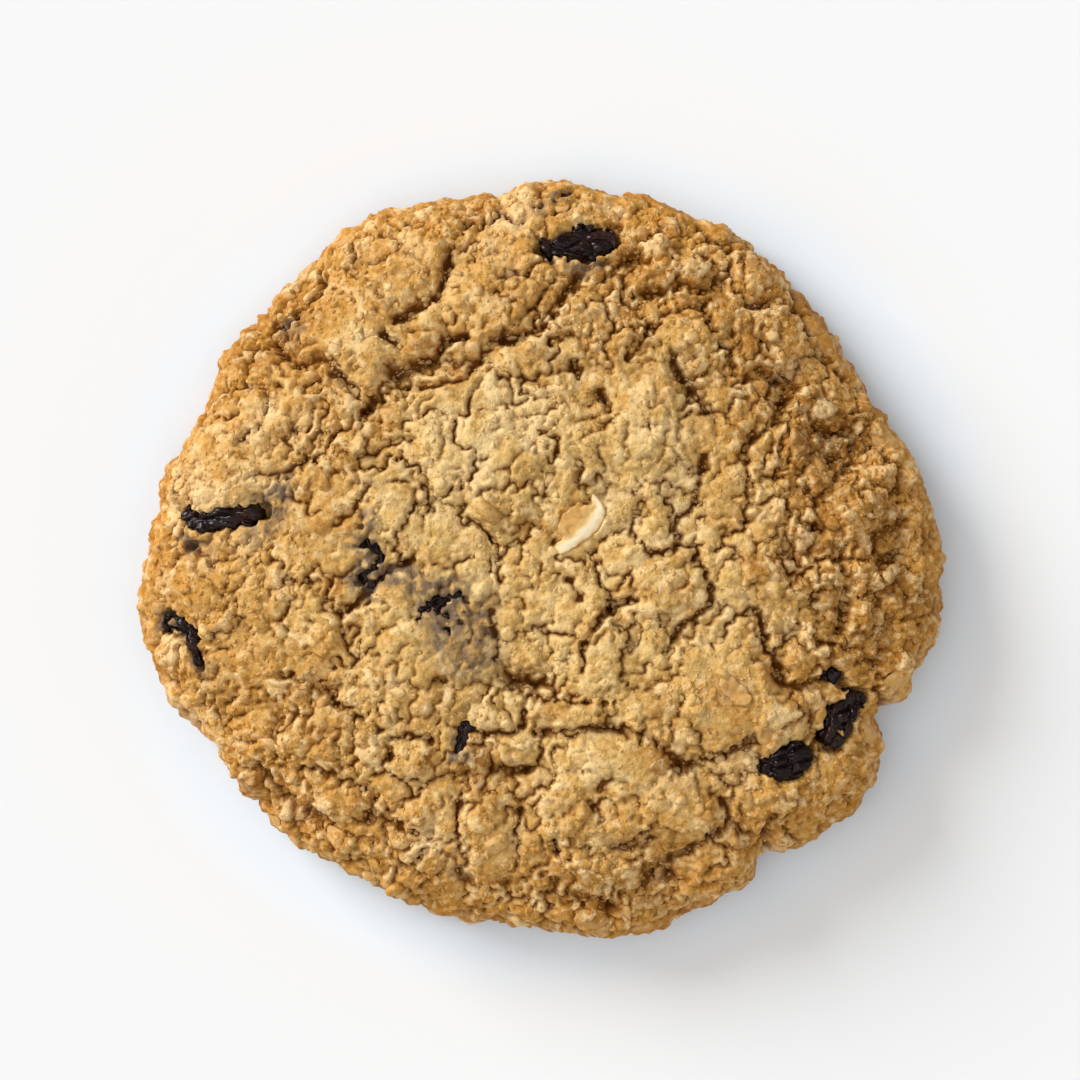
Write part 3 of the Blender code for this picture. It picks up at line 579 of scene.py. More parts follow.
def blurred(field, reach):
    """A map softened over a reach in millimetres."""
    down = np.fft.fftfreq(MAP_CELLS, PITCH)[:, None]
    along = np.fft.rfftfreq(MAP_CELLS, PITCH)[None, :]
    fade = np.exp(-2 * (math.pi * reach) ** 2 * (down**2 + along**2))
    return np.fft.irfft2(np.fft.rfft2(field) * fade, (MAP_CELLS, MAP_CELLS)).astype(np.float32)


def cells(x, y, size, seed):
    """A net of uneven cells about size across: distance to the cell's edge, two random numbers that
    belong to each cell, and the place of its middle."""
    many = 97
    rng = np.random.default_rng(seed)
    spots = (0.08 + 0.84 * rng.random((many, many, 2))).astype(np.float32)
    # Four numbers are drawn for each cell, and the first two of them are its own.
    traits = rng.standard_normal((many, many, 4)).astype(np.float32)
    column = np.floor(x / size).astype(np.int32)
    row = np.floor(y / size).astype(np.int32)

    def spot(step_x, step_y):
        c, r = column + step_x, row + step_y
        found = spots[r % many, c % many]
        return (c + found[..., 0]) * size, (r + found[..., 1]) * size

    steps = [(i, j) for i in (-1, 0, 1) for j in (-1, 0, 1)]
    nearest = np.full(x.shape, np.inf, np.float32)
    near_x, near_y = np.zeros_like(nearest), np.zeros_like(nearest)
    chosen = np.zeros(x.shape, np.int32)
    for i, j in steps:
        px, py = spot(i, j)
        away = (px - x) ** 2 + (py - y) ** 2
        closer = away < nearest
        nearest[closer] = away[closer]
        near_x[closer], near_y[closer] = px[closer], py[closer]
        chosen[closer] = (((row + j) % many) * many + (column + i) % many)[closer]
    edge = np.full(x.shape, np.inf, np.float32)
    for i, j in steps:
        px, py = spot(i, j)
        gap_x, gap_y = px - near_x, py - near_y
        gap = np.hypot(gap_x, gap_y)
        gap[gap < 1e-4] = np.inf
        reach = ((px + near_x) / 2 - x) * gap_x + ((py + near_y) / 2 - y) * gap_y
        edge = np.where(np.isfinite(gap), np.minimum(edge, reach / gap), edge)
    own = traits.reshape(-1, 4)[chosen]
    return np.maximum(edge, 0).astype(np.float32), own[..., 0], own[..., 1], (near_x, near_y)


def laid_flat(x, y):
    """Where a place seen from above lies on the flat map."""
    direction = math.atan2(y, x)
    rim = rim_radius(direction)
    along = np.interp(math.hypot(x, y) / rim, PROFILE_REACH[:TOP_STEPS], PROFILE_ALONG[:TOP_STEPS])
    out = along * rim / MEAN_RADIUS
    return out * math.cos(direction), out * math.sin(direction)


def crack_map(paths, x, y, width_change, squareness):
    """How deep cracks or windows are at each place. The warped x and y give them ragged edges, and a
    higher squareness gives steeper walls and a flatter bed."""
    margin = 4.0
    depth_map = np.zeros_like(x)
    for depth, half_width, points in paths:
        flat = [laid_flat(px, py) for px, py in points]
        for (ax, ay), (bx, by) in zip(flat, flat[1:]):
            columns = slice(*np.searchsorted(MAP_AXIS, (min(ax, bx) - margin, max(ax, bx) + margin)))
            rows = slice(*np.searchsorted(MAP_AXIS, (min(ay, by) - margin, max(ay, by) + margin)))
            sx, sy = x[rows, columns] - ax, y[rows, columns] - ay
            lx, ly = bx - ax, by - ay
            share = np.clip((sx * lx + sy * ly) / (lx * lx + ly * ly), 0, 1)
            away = np.hypot(sx - share * lx, sy - share * ly)
            wide = half_width * width_change[rows, columns]
            here = depth * np.exp(-((away / wide) ** squareness))
            depth_map[rows, columns] = np.maximum(depth_map[rows, columns], here)
    return depth_map


def patch_map(patches, x, y, squareness):
    """Sum of listed oval patches. A higher squareness gives flatter tops and steeper edges."""
    total = np.zeros_like(x)
    for cx, cy, strength, half_length, half_width, heading in patches:
        fx, fy = laid_flat(cx, cy)
        turn = math.radians(heading)
        dx, dy = x - fx, y - fy
        u = (dx * math.cos(turn) + dy * math.sin(turn)) / half_length
        v = (dy * math.cos(turn) - dx * math.sin(turn)) / half_width
        total += strength * np.exp(-((u * u + v * v) ** squareness))
    return total


def outline_from_frame():
    """Distance to the rim in each direction, read off the CAD dough at the belly's level."""
    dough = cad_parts["oat_dough"].data
    tree = BVHTree.FromPolygons(
        [v.co for v in dough.vertices], [tuple(p.vertices) for p in dough.polygons]
    )
    reach = []
    for step in range(DIRECTIONS):
        turn = math.radians(360 * step / DIRECTIONS)
        outside = Vector((math.cos(turn), math.sin(turn), 0)) * 0.2 + Vector((0, 0, BELLY * MM))
        hit = tree.ray_cast(outside, Vector((-math.cos(turn), -math.sin(turn), 0)))[0]
        reach.append(math.hypot(hit.x, hit.y) / MM)
    return np.array(reach)


OUTLINE = outline_from_frame()


def rim_radius(direction):
    """Distance from the middle to the rim, for directions in radians."""
    steps = 360 * np.arange(DIRECTIONS + 1) / DIRECTIONS
    return np.interp(np.degrees(direction) % 360, steps, np.append(OUTLINE, OUTLINE[0]))


def profile():
    """Half section of the smooth loaf, from the crown over the shoulder and belly to the base's edge:
    reach as a share of the rim's radius, height, and length along it."""
    turn = np.linspace(0, math.pi / 2, TOP_STEPS)
    reach = np.sin(turn) ** (2 / SHOULDER)
    height = BELLY + (CROWN - BELLY) * np.cos(turn) ** (2 / SHOULDER)
    low = np.linspace(0, math.pi / 2, LOW_STEPS)[1:]
    low_reach = BASE_REACH + (1 - BASE_REACH) * np.cos(low) ** (2 / LOWER_EDGE)
    low_height = BELLY * (1 - np.sin(low) ** (2 / LOWER_EDGE))
    reach, height = np.append(reach, low_reach), np.append(height, low_height)
    along = np.append(0, np.cumsum(np.hypot(np.diff(reach) * MEAN_RADIUS, np.diff(height))))
    return reach, height, along


TOP_STEPS, LOW_STEPS = 400, 60
PROFILE_REACH, PROFILE_HEIGHT, PROFILE_ALONG = profile()
PROFILE_END = PROFILE_ALONG[-1]


def borders(middle):
    """Marks the places where one cell of a net meets another."""
    mark = np.zeros_like(middle[0])
    mark[:, 1:] = np.abs(np.diff(middle[0], axis=1)) > 0.01
    mark[1:, :] = np.maximum(mark[1:, :], np.abs(np.diff(middle[0], axis=0)) > 0.01)
    return mark


def groove(mark, reach):
    """A groove along the marked places, about 1 deep where the mark is 1."""
    return np.clip(blurred(mark, reach) * reach * math.sqrt(2 * math.pi) / PITCH, 0, 1.3)


def split_marks(paths, grain, lowest, highest):
    """Marks, along each crack whose half width lies between two limits, the borders between the grains on
    its two sides, so that a crack runs round the grains and not through them. Grain holds their middles."""
    mark = np.zeros_like(grain[0])
    margin = 1.6
    for depth, half_width, points in paths:
        if not lowest <= half_width < highest:
            continue
        flat = np.array([laid_flat(px, py) for px, py in points])
        low, high = flat.min(0) - margin, flat.max(0) + margin
        columns = slice(*np.searchsorted(MAP_AXIS, (low[0], high[0])))
        rows = slice(*np.searchsorted(MAP_AXIS, (low[1], high[1])))
        gx, gy = grain[0][rows, columns], grain[1][rows, columns]
        nearest = np.full(gx.shape, 1.2)
        side = np.zeros(gx.shape)
        for number in range(len(flat) - 1):
            start, way = flat[number], flat[number + 1] - flat[number]
            sx, sy = gx - start[0], gy - start[1]
            share = (sx * way[0] + sy * way[1]) / (way @ way)
            past_end = (share < 0) & (number == 0) | (share > 1) & (number == len(flat) - 2)
            share = np.clip(share, 0, 1)
            away = np.hypot(sx - share * way[0], sy - share * way[1])
            closer = (away < nearest) & ~past_end
            nearest[closer] = away[closer]
            side[closer] = np.sign(way[0] * sy - way[1] * sx)[closer]
        part = mark[rows, columns]
        across = (side[:, 1:] * side[:, :-1] < 0) * depth
        down = (side[1:, :] * side[:-1, :] < 0) * depth
        part[:, 1:] = np.maximum(part[:, 1:], across)
        part[1:, :] = np.maximum(part[1:, :], down)
    return mark


def bent(places, sway):
    """Places moved by the sway that is found there."""
    return [axis + read_map(shift, *places).astype(np.float32) for axis, shift in zip(places, sway)]


def crust_maps():
    """The crust's relief in millimetres, and the masks that colour it."""
    sway = [0.5 * lumps(5.0, s) + 0.17 * lumps(1.8, s + 1) + 0.08 * lumps(0.8, s + 2) for s in (1, 5)]
    drift = [0.36 * lumps(5.0, s) + 0.07 * lumps(1.8, s + 1) for s in (1, 5)]
    x, y = MAP_X + sway[0], MAP_Y + sway[1]
    out = np.hypot(MAP_X, MAP_Y)
    toward_rim = smooth_step(26, 44, out)
    side = smooth_step(42.5, 48, out)
    even = np.ones_like(MAP_X)
    # Browner and paler patches: partly the crust's own browning, partly painted shade and light.
    browning_and_shade = patch_map(BROWNINGS_AND_SHADE, MAP_X + 2 * sway[0], MAP_Y + 2 * sway[1], 1.2)
    rough = np.clip(browning_and_shade, 0, 1)
    crumbly = smooth_step(-0.9, 1.6, lumps(7, 42) + 0.9 * toward_rim + 1.4 * rough)

    # Plates, nuggets, crumbs and grains of crust. Each net is read at the middles of the finer one, so a
    # plate's border runs round whole nuggets, and theirs round whole crumbs and grains.
    near_x, near_y = MAP_X + 0.3 * sway[1], MAP_Y + 0.3 * sway[0]
    grain = cells(near_x, near_y, 0.85, 51)
    crumb = cells(*bent(grain[3], drift), 1.7, 41)
    nugget = cells(*bent(crumb[3], drift), 3.7, 31)
    plate = cells(*bent(crumb[3], drift), 8.0, 21)
    loaf = 0.24 * lumps(16, 11) + 0.17 * lumps(8, 12)
    relief = loaf.copy()
    tint = np.zeros_like(MAP_X)
    crumb_height = 0.045 + 0.04 * crumbly + 0.13 * rough
    crumb_shoulder = 0.08 + 0.04 * crumbly + 0.13 * rough
    nugget_shoulder = 0.17 + 0.10 * rough
    nuggets_open = -0.1 + 0.4 * crumbly
    levels = (
        # net, size, height, tilt, shoulder's depth and reach, crack's depth and reach, how many of the
        # cracks are open, and share in the tint
        (plate, 8.0, 0.12 + 0.10 * rough, 0.28, 0.16, 0.9, 0.44, 0.18, 0.0, 0.15),
        (nugget, 3.7, 0.13 + 0.20 * rough, 0.19, nugget_shoulder, 0.5, 0.33, 0.16, nuggets_open, 0.35),
        (crumb, 1.7, crumb_height, 0.0, crumb_shoulder, 0.27, 0.12, 0.12, crumbly - 0.6, 0.6),
        (grain, 0.85, 0.045 + 0.03 * crumbly, 0.0, 0.08 + 0.05 * rough, 0.16, 0.0, 0.0, 0.0, 0.7),
    )
    for number, (net, size, height, lean, shoulder, wide, depth, narrow, opened, tinted) in enumerate(levels):
        _, high, deep, middle = net
        mark = borders(middle)
        relief += height * high - shoulder * groove(mark, wide)
        if lean:
            tilt = ((x - middle[0]) * np.roll(high, 3) + (y - middle[1]) * deep) / size
            relief += lean * np.clip(tilt, -1, 1)
        if depth:
            split = smooth_step(-0.5, 0.5, lumps(size * 1.5, 60 + number) + opened)
            relief -= depth * groove(mark * split, narrow)
        tint += tinted * (deep if number % 2 else high)
    relief -= 0.3 * rough * groove(borders(nugget[3]), 0.16)

    # Oats that lie in the crust are paler and stand a little proud.
    oat = cells(near_x, near_y, 2.5, 55)
    oats = smooth_step(0.9, 1.3, oat[2]) * smooth_step(0.1, 0.5, oat[0])
    relief += 0.14 * oats
    tint += 1.2 * oats
    broken = relief - loaf
    relief = loaf + broken * (1 - np.clip(patch_map(SMOOTH_SKINS, x, y, 1.5), 0, 0.85))
    relief -= 1.15 * rough * smooth_step(-0.2, 1.0, lumps(5.5, 44))
    mounds = 0.5 * patch_map(SWELLINGS, x, y, 1.9) + 0.5 * patch_map(SWELLINGS, *crumb[3], 1.9)
    relief += 1.45 * mounds

    # Cracks: a soft valley, a split that runs round the grains, and grains fallen out of the wide ones.
    change = np.clip(1.0 + 0.35 * lumps(4, 71) + 0.25 * lumps(1.2, 72), 0.3, 2.0)
    relief -= 0.16 * crack_map(CRACKS, x, y, 2.4 * change, 2)
    splits = (
        # for half widths from, up to, the split's reach and depth
        (0, 0.33, 0.14, 0.6),
        (0.33, 0.48, 0.2, 0.7),
        (0.48, 9, 0.3, 0.75),
    )
    for lowest, highest, reach, share in splits:
        relief -= share * groove(split_marks(CRACKS, grain[3], lowest, highest), reach)
    relief -= 0.65 * crack_map(CRACKS, *grain[3], 0.85 * change, 4)
    relief = blurred(relief, 0.06)
    edge, _, deep, _ = cells(x, y, 3.1, 81)
    relief -= 0.4 * smooth_step(0.8, 1.2, edge * smooth_step(0.9, 1.6, deep))
    relief = relief - relief[out < 44].mean() + 0.1
    cover = np.where(relief > 0.9, 0.9 + 0.6 * np.tanh((relief - 0.9) / 0.6), relief)
    cover = cover * (1 - 0.45 * side) + side * (0.22 * lumps(3.2, 45) + 0.12 * lumps(1.4, 46))

    # Windows over raisins and chips, with edges that break off grain by grain.
    chipped = [0.55 * axis + 0.45 * middle for axis, middle in zip((near_x, near_y), grain[3])]
    chipped = [axis + 0.12 * lumps(0.7, seed) for axis, seed in zip(chipped, (62, 63))]
    window = crack_map([(1, w, p) for _, w, p in RAISIN_WINDOWS], *chipped, even, 6)
    relief = cover - crack_map(RAISIN_WINDOWS, *chipped, even, 6)
    gentle = MAP_X + 0.25 * sway[0] + 0.06 * lumps(0.7, 64), MAP_Y + 0.25 * sway[1] + 0.06 * lumps(0.7, 65)
    chip = crack_map([(1, w, p) for _, w, p in CHIP_WINDOWS], *gentle, even, 6)
    relief -= crack_map(CHIP_WINDOWS, *gentle, even, 6)
    clean = crack_map(CLEAN_EDGES, *gentle, even, 2)

    hollow_wide = cover - blurred(cover, 2.2)
    hollow_fine = cover - blurred(cover, 0.5)
    # Painted shade: hollows and cracks are coloured darker, partly the darker crumb there and partly shade
    # painted into the colour.
    crevice_shade = smooth_step(0.1, 0.9, -hollow_wide) * 0.75 + smooth_step(0.08, 0.4, -hollow_fine) * 0.6
    toasted = 0.35 + 0.3 * hollow_wide + 0.14 * lumps(7, 91) + 0.1 * lumps(2.5, 92) + 0.55 * browning_and_shade
    toasted -= 0.6 * crack_map(CLEAN_EDGES, *gentle, 1.8 * even, 2)
    dull = patch_map(DULL_PATCHES, MAP_X + 2 * sway[0], MAP_Y + 2 * sway[1], 1.2)
    dull = dull * (0.8 + 0.3 * lumps(1.6, 93)) + 0.12 * lumps(4, 94)
    # Raisin stains, with painted shade and shadow round the raisins.
    stain_and_shade = patch_map(STAINS_AND_SHADE, MAP_X + sway[0], MAP_Y + sway[1], 1.5) * (0.8 + 0.45 * lumps(0.8, 95))
    maps = {
        "relief": relief,
        "cover": cover,
        "window": window,
        "chip": chip,
        "clean": clean,
        "toasted": toasted,
        "crevice_shade": np.clip(crevice_shade, 0, 1),
        "dull": np.clip(dull, 0, 1),
        # Besides the grains' own tones and the oats, the tint holds painted light on raised grains and
        # painted shade in fine hollows.
        "tint": np.clip(0.5 + 0.22 * tint + 0.5 * hollow_fine, 0, 1),
        "stain_and_shade": np.clip(stain_and_shade, 0, 1),
        "rough": rough,
    }
    return {name: field.astype(np.float32) for name, field in maps.items()}


def read_map(field, u, v):
    """The map's values at flat places, by bilinear blending."""
    column = np.clip((u + MAP_SPAN / 2) / PITCH - 0.5, 0, MAP_CELLS - 1.001)
    row = np.clip((v + MAP_SPAN / 2) / PITCH - 0.5, 0, MAP_CELLS - 1.001)
    c, r = column.astype(int), row.astype(int)
    fc, fr = column - c, row - r
    upper = field[r, c] * (1 - fc) + field[r, c + 1] * fc
    lower = field[r + 1, c] * (1 - fc) + field[r + 1, c + 1] * fc
    return upper * (1 - fr) + lower * fr


# ---------------------------------------------------------------- from the flat map to the loaf


def crust_points(along, direction, raised):
    """Points on the crust, raised off the smooth loaf. Along is the length from the crown."""
    reach = np.interp(along, PROFILE_ALONG, PROFILE_REACH)
    height = np.interp(along, PROFILE_ALONG, PROFILE_HEIGHT)
    rise = np.gradient(PROFILE_HEIGHT, PROFILE_ALONG)
    run = np.gradient(PROFILE_REACH * MEAN_RADIUS, PROFILE_ALONG)
    length = np.hypot(rise, run)
    up = np.interp(along, PROFILE_ALONG, run / length)
    outward = np.interp(along, PROFILE_ALONG, -rise / length)
    radius = reach * rim_radius(direction) + outward * raised
    return np.stack(
        (radius * np.cos(direction), radius * np.sin(direction), height + up * raised), axis=-1
    )


def flat_places(points):
    """For points on or near the crust: the flat map's place, the share of the way from the crown to the
    belly, how far they lie off the smooth loaf, and which way is off it."""
    direction = np.arctan2(points[:, 1], points[:, 0])
    rim = rim_radius(direction)
    reach = np.hypot(points[:, 0], points[:, 1]) / rim
    keep = slice(None, None, 4)
    sample_reach, sample_height = PROFILE_REACH[keep], PROFILE_HEIGHT[keep]
    along = np.empty(len(points))
    batch = 20000
    for start in range(0, len(points), batch):
        part = slice(start, start + batch)
        away = ((reach[part, None] - sample_reach) * MEAN_RADIUS) ** 2
        away = away + (points[part, 2, None] - sample_height) ** 2
        along[part] = PROFILE_ALONG[keep][np.argmin(away, axis=1)]
    guess = np.interp(reach, PROFILE_REACH[:TOP_STEPS], PROFILE_ALONG[:TOP_STEPS])
    along = np.where(reach < 0.9, np.where(points[:, 2] > BELLY, guess, along), along)
    foot = crust_points(along, direction, 0)
    off = crust_points(along, direction, 1) - foot
    raised = ((points - foot) * off).sum(1)
    out = along * rim / MEAN_RADIUS
    share = np.minimum(along / PROFILE_ALONG[TOP_STEPS - 1], 1)
    return out * np.cos(direction), out * np.sin(direction), share, raised, off


def vertex_places(mesh):
    """All vertex places of a mesh, in millimetres."""
    places = np.empty(len(mesh.vertices) * 3, np.float32)
    mesh.vertices.foreach_get("co", places)
    return places.reshape(-1, 3) / MM


def move_vertices(mesh, places):
    """Puts the mesh's vertices at places in millimetres."""
    mesh.vertices.foreach_set("co", (places * MM).astype(np.float32).ravel())
    mesh.update()


def set_mask(mesh, name, values):
    """Stores one number for each vertex, for the materials."""
    mask = mesh.attributes.new(name, "FLOAT", "POINT")
    mask.data.foreach_set("value", np.asarray(values, np.float32))


def only_select(piece):
    """Selects and activates one object."""
    bpy.ops.object.select_all(action="DESELECT")
    piece.select_set(True)
    bpy.context.view_layer.objects.active = piece


def apply_modifier(piece, kind, **settings):
    """Adds a modifier and applies it at once."""
    only_select(piece)
    added = piece.modifiers.new(kind.lower(), kind)
    for key, value in settings.items():
        setattr(added, key, value)
    bpy.ops.object.modifier_apply(modifier=added.name)


def make_dough(maps):
    """The baked dough: a fine sphere spread over the loaf, most of it over the crust."""
    crust_share = 0.84
    bpy.ops.object.select_all(action="DESELECT")
    bpy.ops.mesh.primitive_ico_sphere_add(subdivisions=9, radius=1)
    dough = bpy.context.object
    dough.name = dough.data.name = "baked_oat_dough"
    ball = vertex_places(dough.data) * MM
    direction = np.arctan2(ball[:, 1], ball[:, 0])
    level = 1 - 2 * crust_share
    on_crust = ball[:, 2] >= level
    spread = np.sqrt(np.clip((1 - ball[:, 2]) / (1 - level), 0, 1))
    along = spread * PROFILE_END
    out = along * rim_radius(direction) / MEAN_RADIUS
    raised = read_map(maps["relief"], out * np.cos(direction), out * np.sin(direction))
    raised = raised * smooth_step(PROFILE_END, PROFILE_END - RELIEF_FADE, along)
    places = crust_points(along, direction, raised)
    under = np.sqrt(np.clip((1 + ball[:, 2]) / (1 + level), 0, 1))
    radius = under * BASE_REACH * rim_radius(direction)
    bx, by = radius * np.cos(direction), radius * np.sin(direction)
    dimple = read_map(maps["underside"], bx, by) * smooth_step(1.0, 0.97, under)
    base = np.stack((bx, by, dimple), axis=-1)
    places = np.where(on_crust[:, None], places, base)
    move_vertices(dough.data, places)
    apply_modifier(dough, "DECIMATE", ratio=MOST_TRIANGLES / len(dough.data.polygons))
    dough.data.shade_smooth()
    paint_masks(dough, maps)
    return dough


def paint_masks(piece, maps, shift=None):
    """Gives a piece of dough the masks of the place where each vertex lies. A shift changes the tint."""
    places = vertex_places(piece.data)
    u, v, outward, _, _ = flat_places(places)
    for name in ("crevice_shade", "toasted", "dull", "stain_and_shade", "tint"):
        values = read_map(maps[name], u, v)
        if name == "tint" and shift is not None:
            values = np.clip(0.5 * values + shift, 0, 1)
        # Loose crumbs get less of the painted shade of the hollows.
        if name == "crevice_shade" and shift is not None:
            values = values * 0.4
        set_mask(piece.data, name, values)
    set_mask(piece.data, "outward", outward)
    set_mask(piece.data, "underside", smooth_step(1.6, 0.4, places[:, 2]))


def underside_map():
    """Height of the baked base off the tray: nearly flat, with small pores and ripples."""
    ripples = 0.05 + 0.03 * lumps(6, 101) + 0.02 * lumps(1.5, 102)
    edge, high, _, _ = cells(MAP_X, MAP_Y, 2.2, 103)
    pores = smooth_step(0.35, 0.8, edge * smooth_step(0.2, 1.4, high))
    return np.clip(ripples + 0.45 * pores, 0, 1).astype(np.float32)


# ---------------------------------------------------------------- what lies in the crust


def ball_mesh(fineness):
    """Points and triangles of a ball with a radius of 1."""
    bpy.ops.object.select_all(action="DESELECT")
    bpy.ops.mesh.primitive_ico_sphere_add(subdivisions=fineness, radius=1)
    ball = bpy.context.object
    points = vertex_places(ball.data) * MM
    faces = np.empty(len(ball.data.polygons) * 3, np.int32)
    ball.data.polygons.foreach_get("vertices", faces)
    bpy.data.objects.remove(ball)
    return points, faces.reshape(-1, 3)


def lump_shapes(many, fineness, roughness, cuts, seed):
    """A few different crumbs, each a ball knocked out of round and broken along flat faces."""
    rng = np.random.default_rng(seed)
    shapes = []
    for _ in range(many):
        points, faces = ball_mesh(fineness)
        points = points * (1 + roughness * rng.standard_normal((len(points), 1)))
        for _ in range(cuts):
            facing = rng.standard_normal(3)
            facing /= np.linalg.norm(facing)
            over = np.clip(points @ facing - rng.uniform(0.45, 0.8), 0, None)
            points = points - over[:, None] * facing
        shapes.append((points, faces))
    return shapes


def surface_places(maps, u, v, softness):
    """Points on the softened relief at flat places, and the way out of the surface."""
    soft = blurred(maps["relief"], softness)

    def point(du, dv):
        turn = np.arctan2(v + dv, u + du)
        length = np.hypot(u + du, v + dv) * MEAN_RADIUS / rim_radius(turn)
        raised = read_map(soft, u + du, v + dv)
        raised = raised * smooth_step(PROFILE_END, PROFILE_END - RELIEF_FADE, length)
        return crust_points(np.minimum(length, PROFILE_END), turn, raised)

    here = point(0, 0)
    outward = np.cross(point(0.25, 0) - here, point(0, 0.25) - here)
    outward /= np.linalg.norm(outward, axis=1, keepdims=True)
    return here, outward


def flake_shapes(many, seed):
    """A few different oat flakes: thin ovals with a wavy rim, a slight cup and a crease along them."""
    rng = np.random.default_rng(seed)
    shapes = []
    for _ in range(many):
        points, faces = ball_mesh(4)
        around = np.arctan2(points[:, 1], points[:, 0])
        wavy = 1 + 0.06 * np.sin(2 * around + rng.uniform(0, 6))
        wavy += 0.05 * np.sin(5 * around + rng.uniform(0, 6))
        out = np.hypot(points[:, 0], points[:, 1])
        points[:, :2] *= wavy[:, None]
        points[:, 2] *= 1 - 0.35 * out**4
        crease = np.exp(-((points[:, 1] + 0.1 * np.sin(3 * points[:, 0])) ** 2) / 0.02)
        points[:, 2] += 0.3 * points[:, 0] ** 2 - 0.16 * crease * (1 - out**2)
        points[:, 2] += 0.12 * np.sin(6 * points[:, 0] + rng.uniform(0, 6)) * np.sin(7 * points[:, 1])
        shapes.append((points, faces))
    return shapes


def random_spots(maps, many, likely, seed):
    """Flat places picked at random, more often where likely is high."""
    rng = np.random.default_rng(seed)
    reach = rim_radius(np.arctan2(MAP_Y, MAP_X)) / MEAN_RADIUS
    inside = np.hypot(MAP_X, MAP_Y) < reach * (PROFILE_ALONG[TOP_STEPS - 1] - 4.0)
    clear = (maps["window"] < 0.2) & (maps["chip"] < 0.5) & (maps["stain_and_shade"] < 0.25)
    weight = (likely * inside * clear).ravel().astype(float)
    spots = rng.choice(weight.size, size=many, p=weight / weight.sum())
    u = MAP_X.ravel()[spots] + rng.uniform(-0.5, 0.5, many) * PITCH
    return u, MAP_Y.ravel()[spots] + rng.uniform(-0.5, 0.5, many) * PITCH


def scatter(name, maps, places, sizes, heading, sunk, tilt, shapes, seed, pale):
    """One piece of many bits set into the crust. Places are flat, sizes are length, width and height of
    each, sunk is the share of the height that lies under the surface, and pale is how pale they are."""
    rng = np.random.default_rng(seed)
    u, v = places
    many = len(u)
    here, outward = surface_places(maps, u, v, float(np.mean(sizes[:, 0])) * 0.3)
    outward = outward + tilt * rng.standard_normal((many, 3))
    outward /= np.linalg.norm(outward, axis=1, keepdims=True)
    along = np.stack((np.cos(heading), np.sin(heading), np.zeros(many)), axis=1)
    along -= outward * (along * outward).sum(1, keepdims=True)
    along /= np.linalg.norm(along, axis=1, keepdims=True)
    beside = np.cross(outward, along)
    centre = here + outward * (sizes[:, 2] * (0.5 - sunk))[:, None]
    which = rng.integers(len(shapes), size=many)
    shift = rng.uniform(*pale, many)
    points, faces, shifts, start = [], [], [], 0
    for kind, (ball, corners) in enumerate(shapes):
        chosen = np.flatnonzero(which == kind)
        if not len(chosen):
            continue
        local = ball[None, :, :] * sizes[chosen, None, :] / 2
        made = centre[chosen, None, :] + local[..., 0:1] * along[chosen, None, :]
        made = made + local[..., 1:2] * beside[chosen, None, :] + local[..., 2:3] * outward[chosen, None, :]
        points.append(made.reshape(-1, 3))
        shifts.append(np.repeat(shift[chosen], len(ball)))
        step = np.arange(len(chosen))[:, None, None] * len(ball)
        faces.append((corners[None] + step + start).reshape(-1, 3))
        start += len(chosen) * len(ball)
    mesh = bpy.data.meshes.new(name)
    points, faces = np.concatenate(points), np.concatenate(faces)
    mesh.vertices.add(len(points))
    mesh.loops.add(faces.size)
    mesh.polygons.add(len(faces))
    mesh.loops.foreach_set("vertex_index", faces.ravel())
    mesh.polygons.foreach_set("loop_start", np.arange(0, faces.size, 3))
    move_vertices(mesh, points)
    mesh.validate()
    mesh.shade_smooth()
    piece = bpy.data.objects.new(name, mesh)
    bpy.context.scene.collection.objects.link(piece)
    paint_masks(piece, maps, np.concatenate(shifts))
    return piece


def scatter_crumbs(name, maps, kind, likely, shapes, seed):
    """Crumbs of one kind at random places, more of them where likely is high."""
    many, size, spread, flatness, sunk, pale = kind
    rng = np.random.default_rng(seed + 500)
    wide = size * np.exp(spread * rng.standard_normal(many))
    length = wide * rng.uniform(0.9, 1.3, many)
    width = wide * rng.uniform(0.7, 1.0, many)
    height = wide * (flatness * rng.uniform(0.75, 1.3, many))
    sizes = np.stack((length, width, height), axis=1)
    heading = rng.uniform(0, 2 * math.pi, many)
    places = random_spots(maps, many, likely, seed)
    return scatter(name, maps, places, sizes, heading, sunk, 0.25, shapes, seed, pale)


def scatter_flakes(maps):
    """The oat flakes that can be told apart, and a few more like them."""
    rng = np.random.default_rng(231)
    extra = 8
    placed = np.array(FLAKES)
    flat = np.array([laid_flat(x, y) for x, y in placed[:, :2]])
    u, v = random_spots(maps, extra, 0.2 + smooth_step(12, 40, np.hypot(MAP_X, MAP_Y)), 232)
    places = np.append(flat[:, 0], u), np.append(flat[:, 1], v)
    length = np.append(placed[:, 2], rng.uniform(2.2, 4.2, extra))
    width = np.append(placed[:, 3], length[len(placed) :] * rng.uniform(0.6, 0.8, extra))
    sizes = np.stack((length, width, 0.1 * length + 0.5), axis=1)
    heading = np.append(np.radians(placed[:, 4]), rng.uniform(0, math.pi, extra))
    shapes = flake_shapes(10, 233)
    return scatter("oat_flakes", maps, places, sizes, heading, 0.72, 0.08, shapes, 234, (0.5, 0.9))


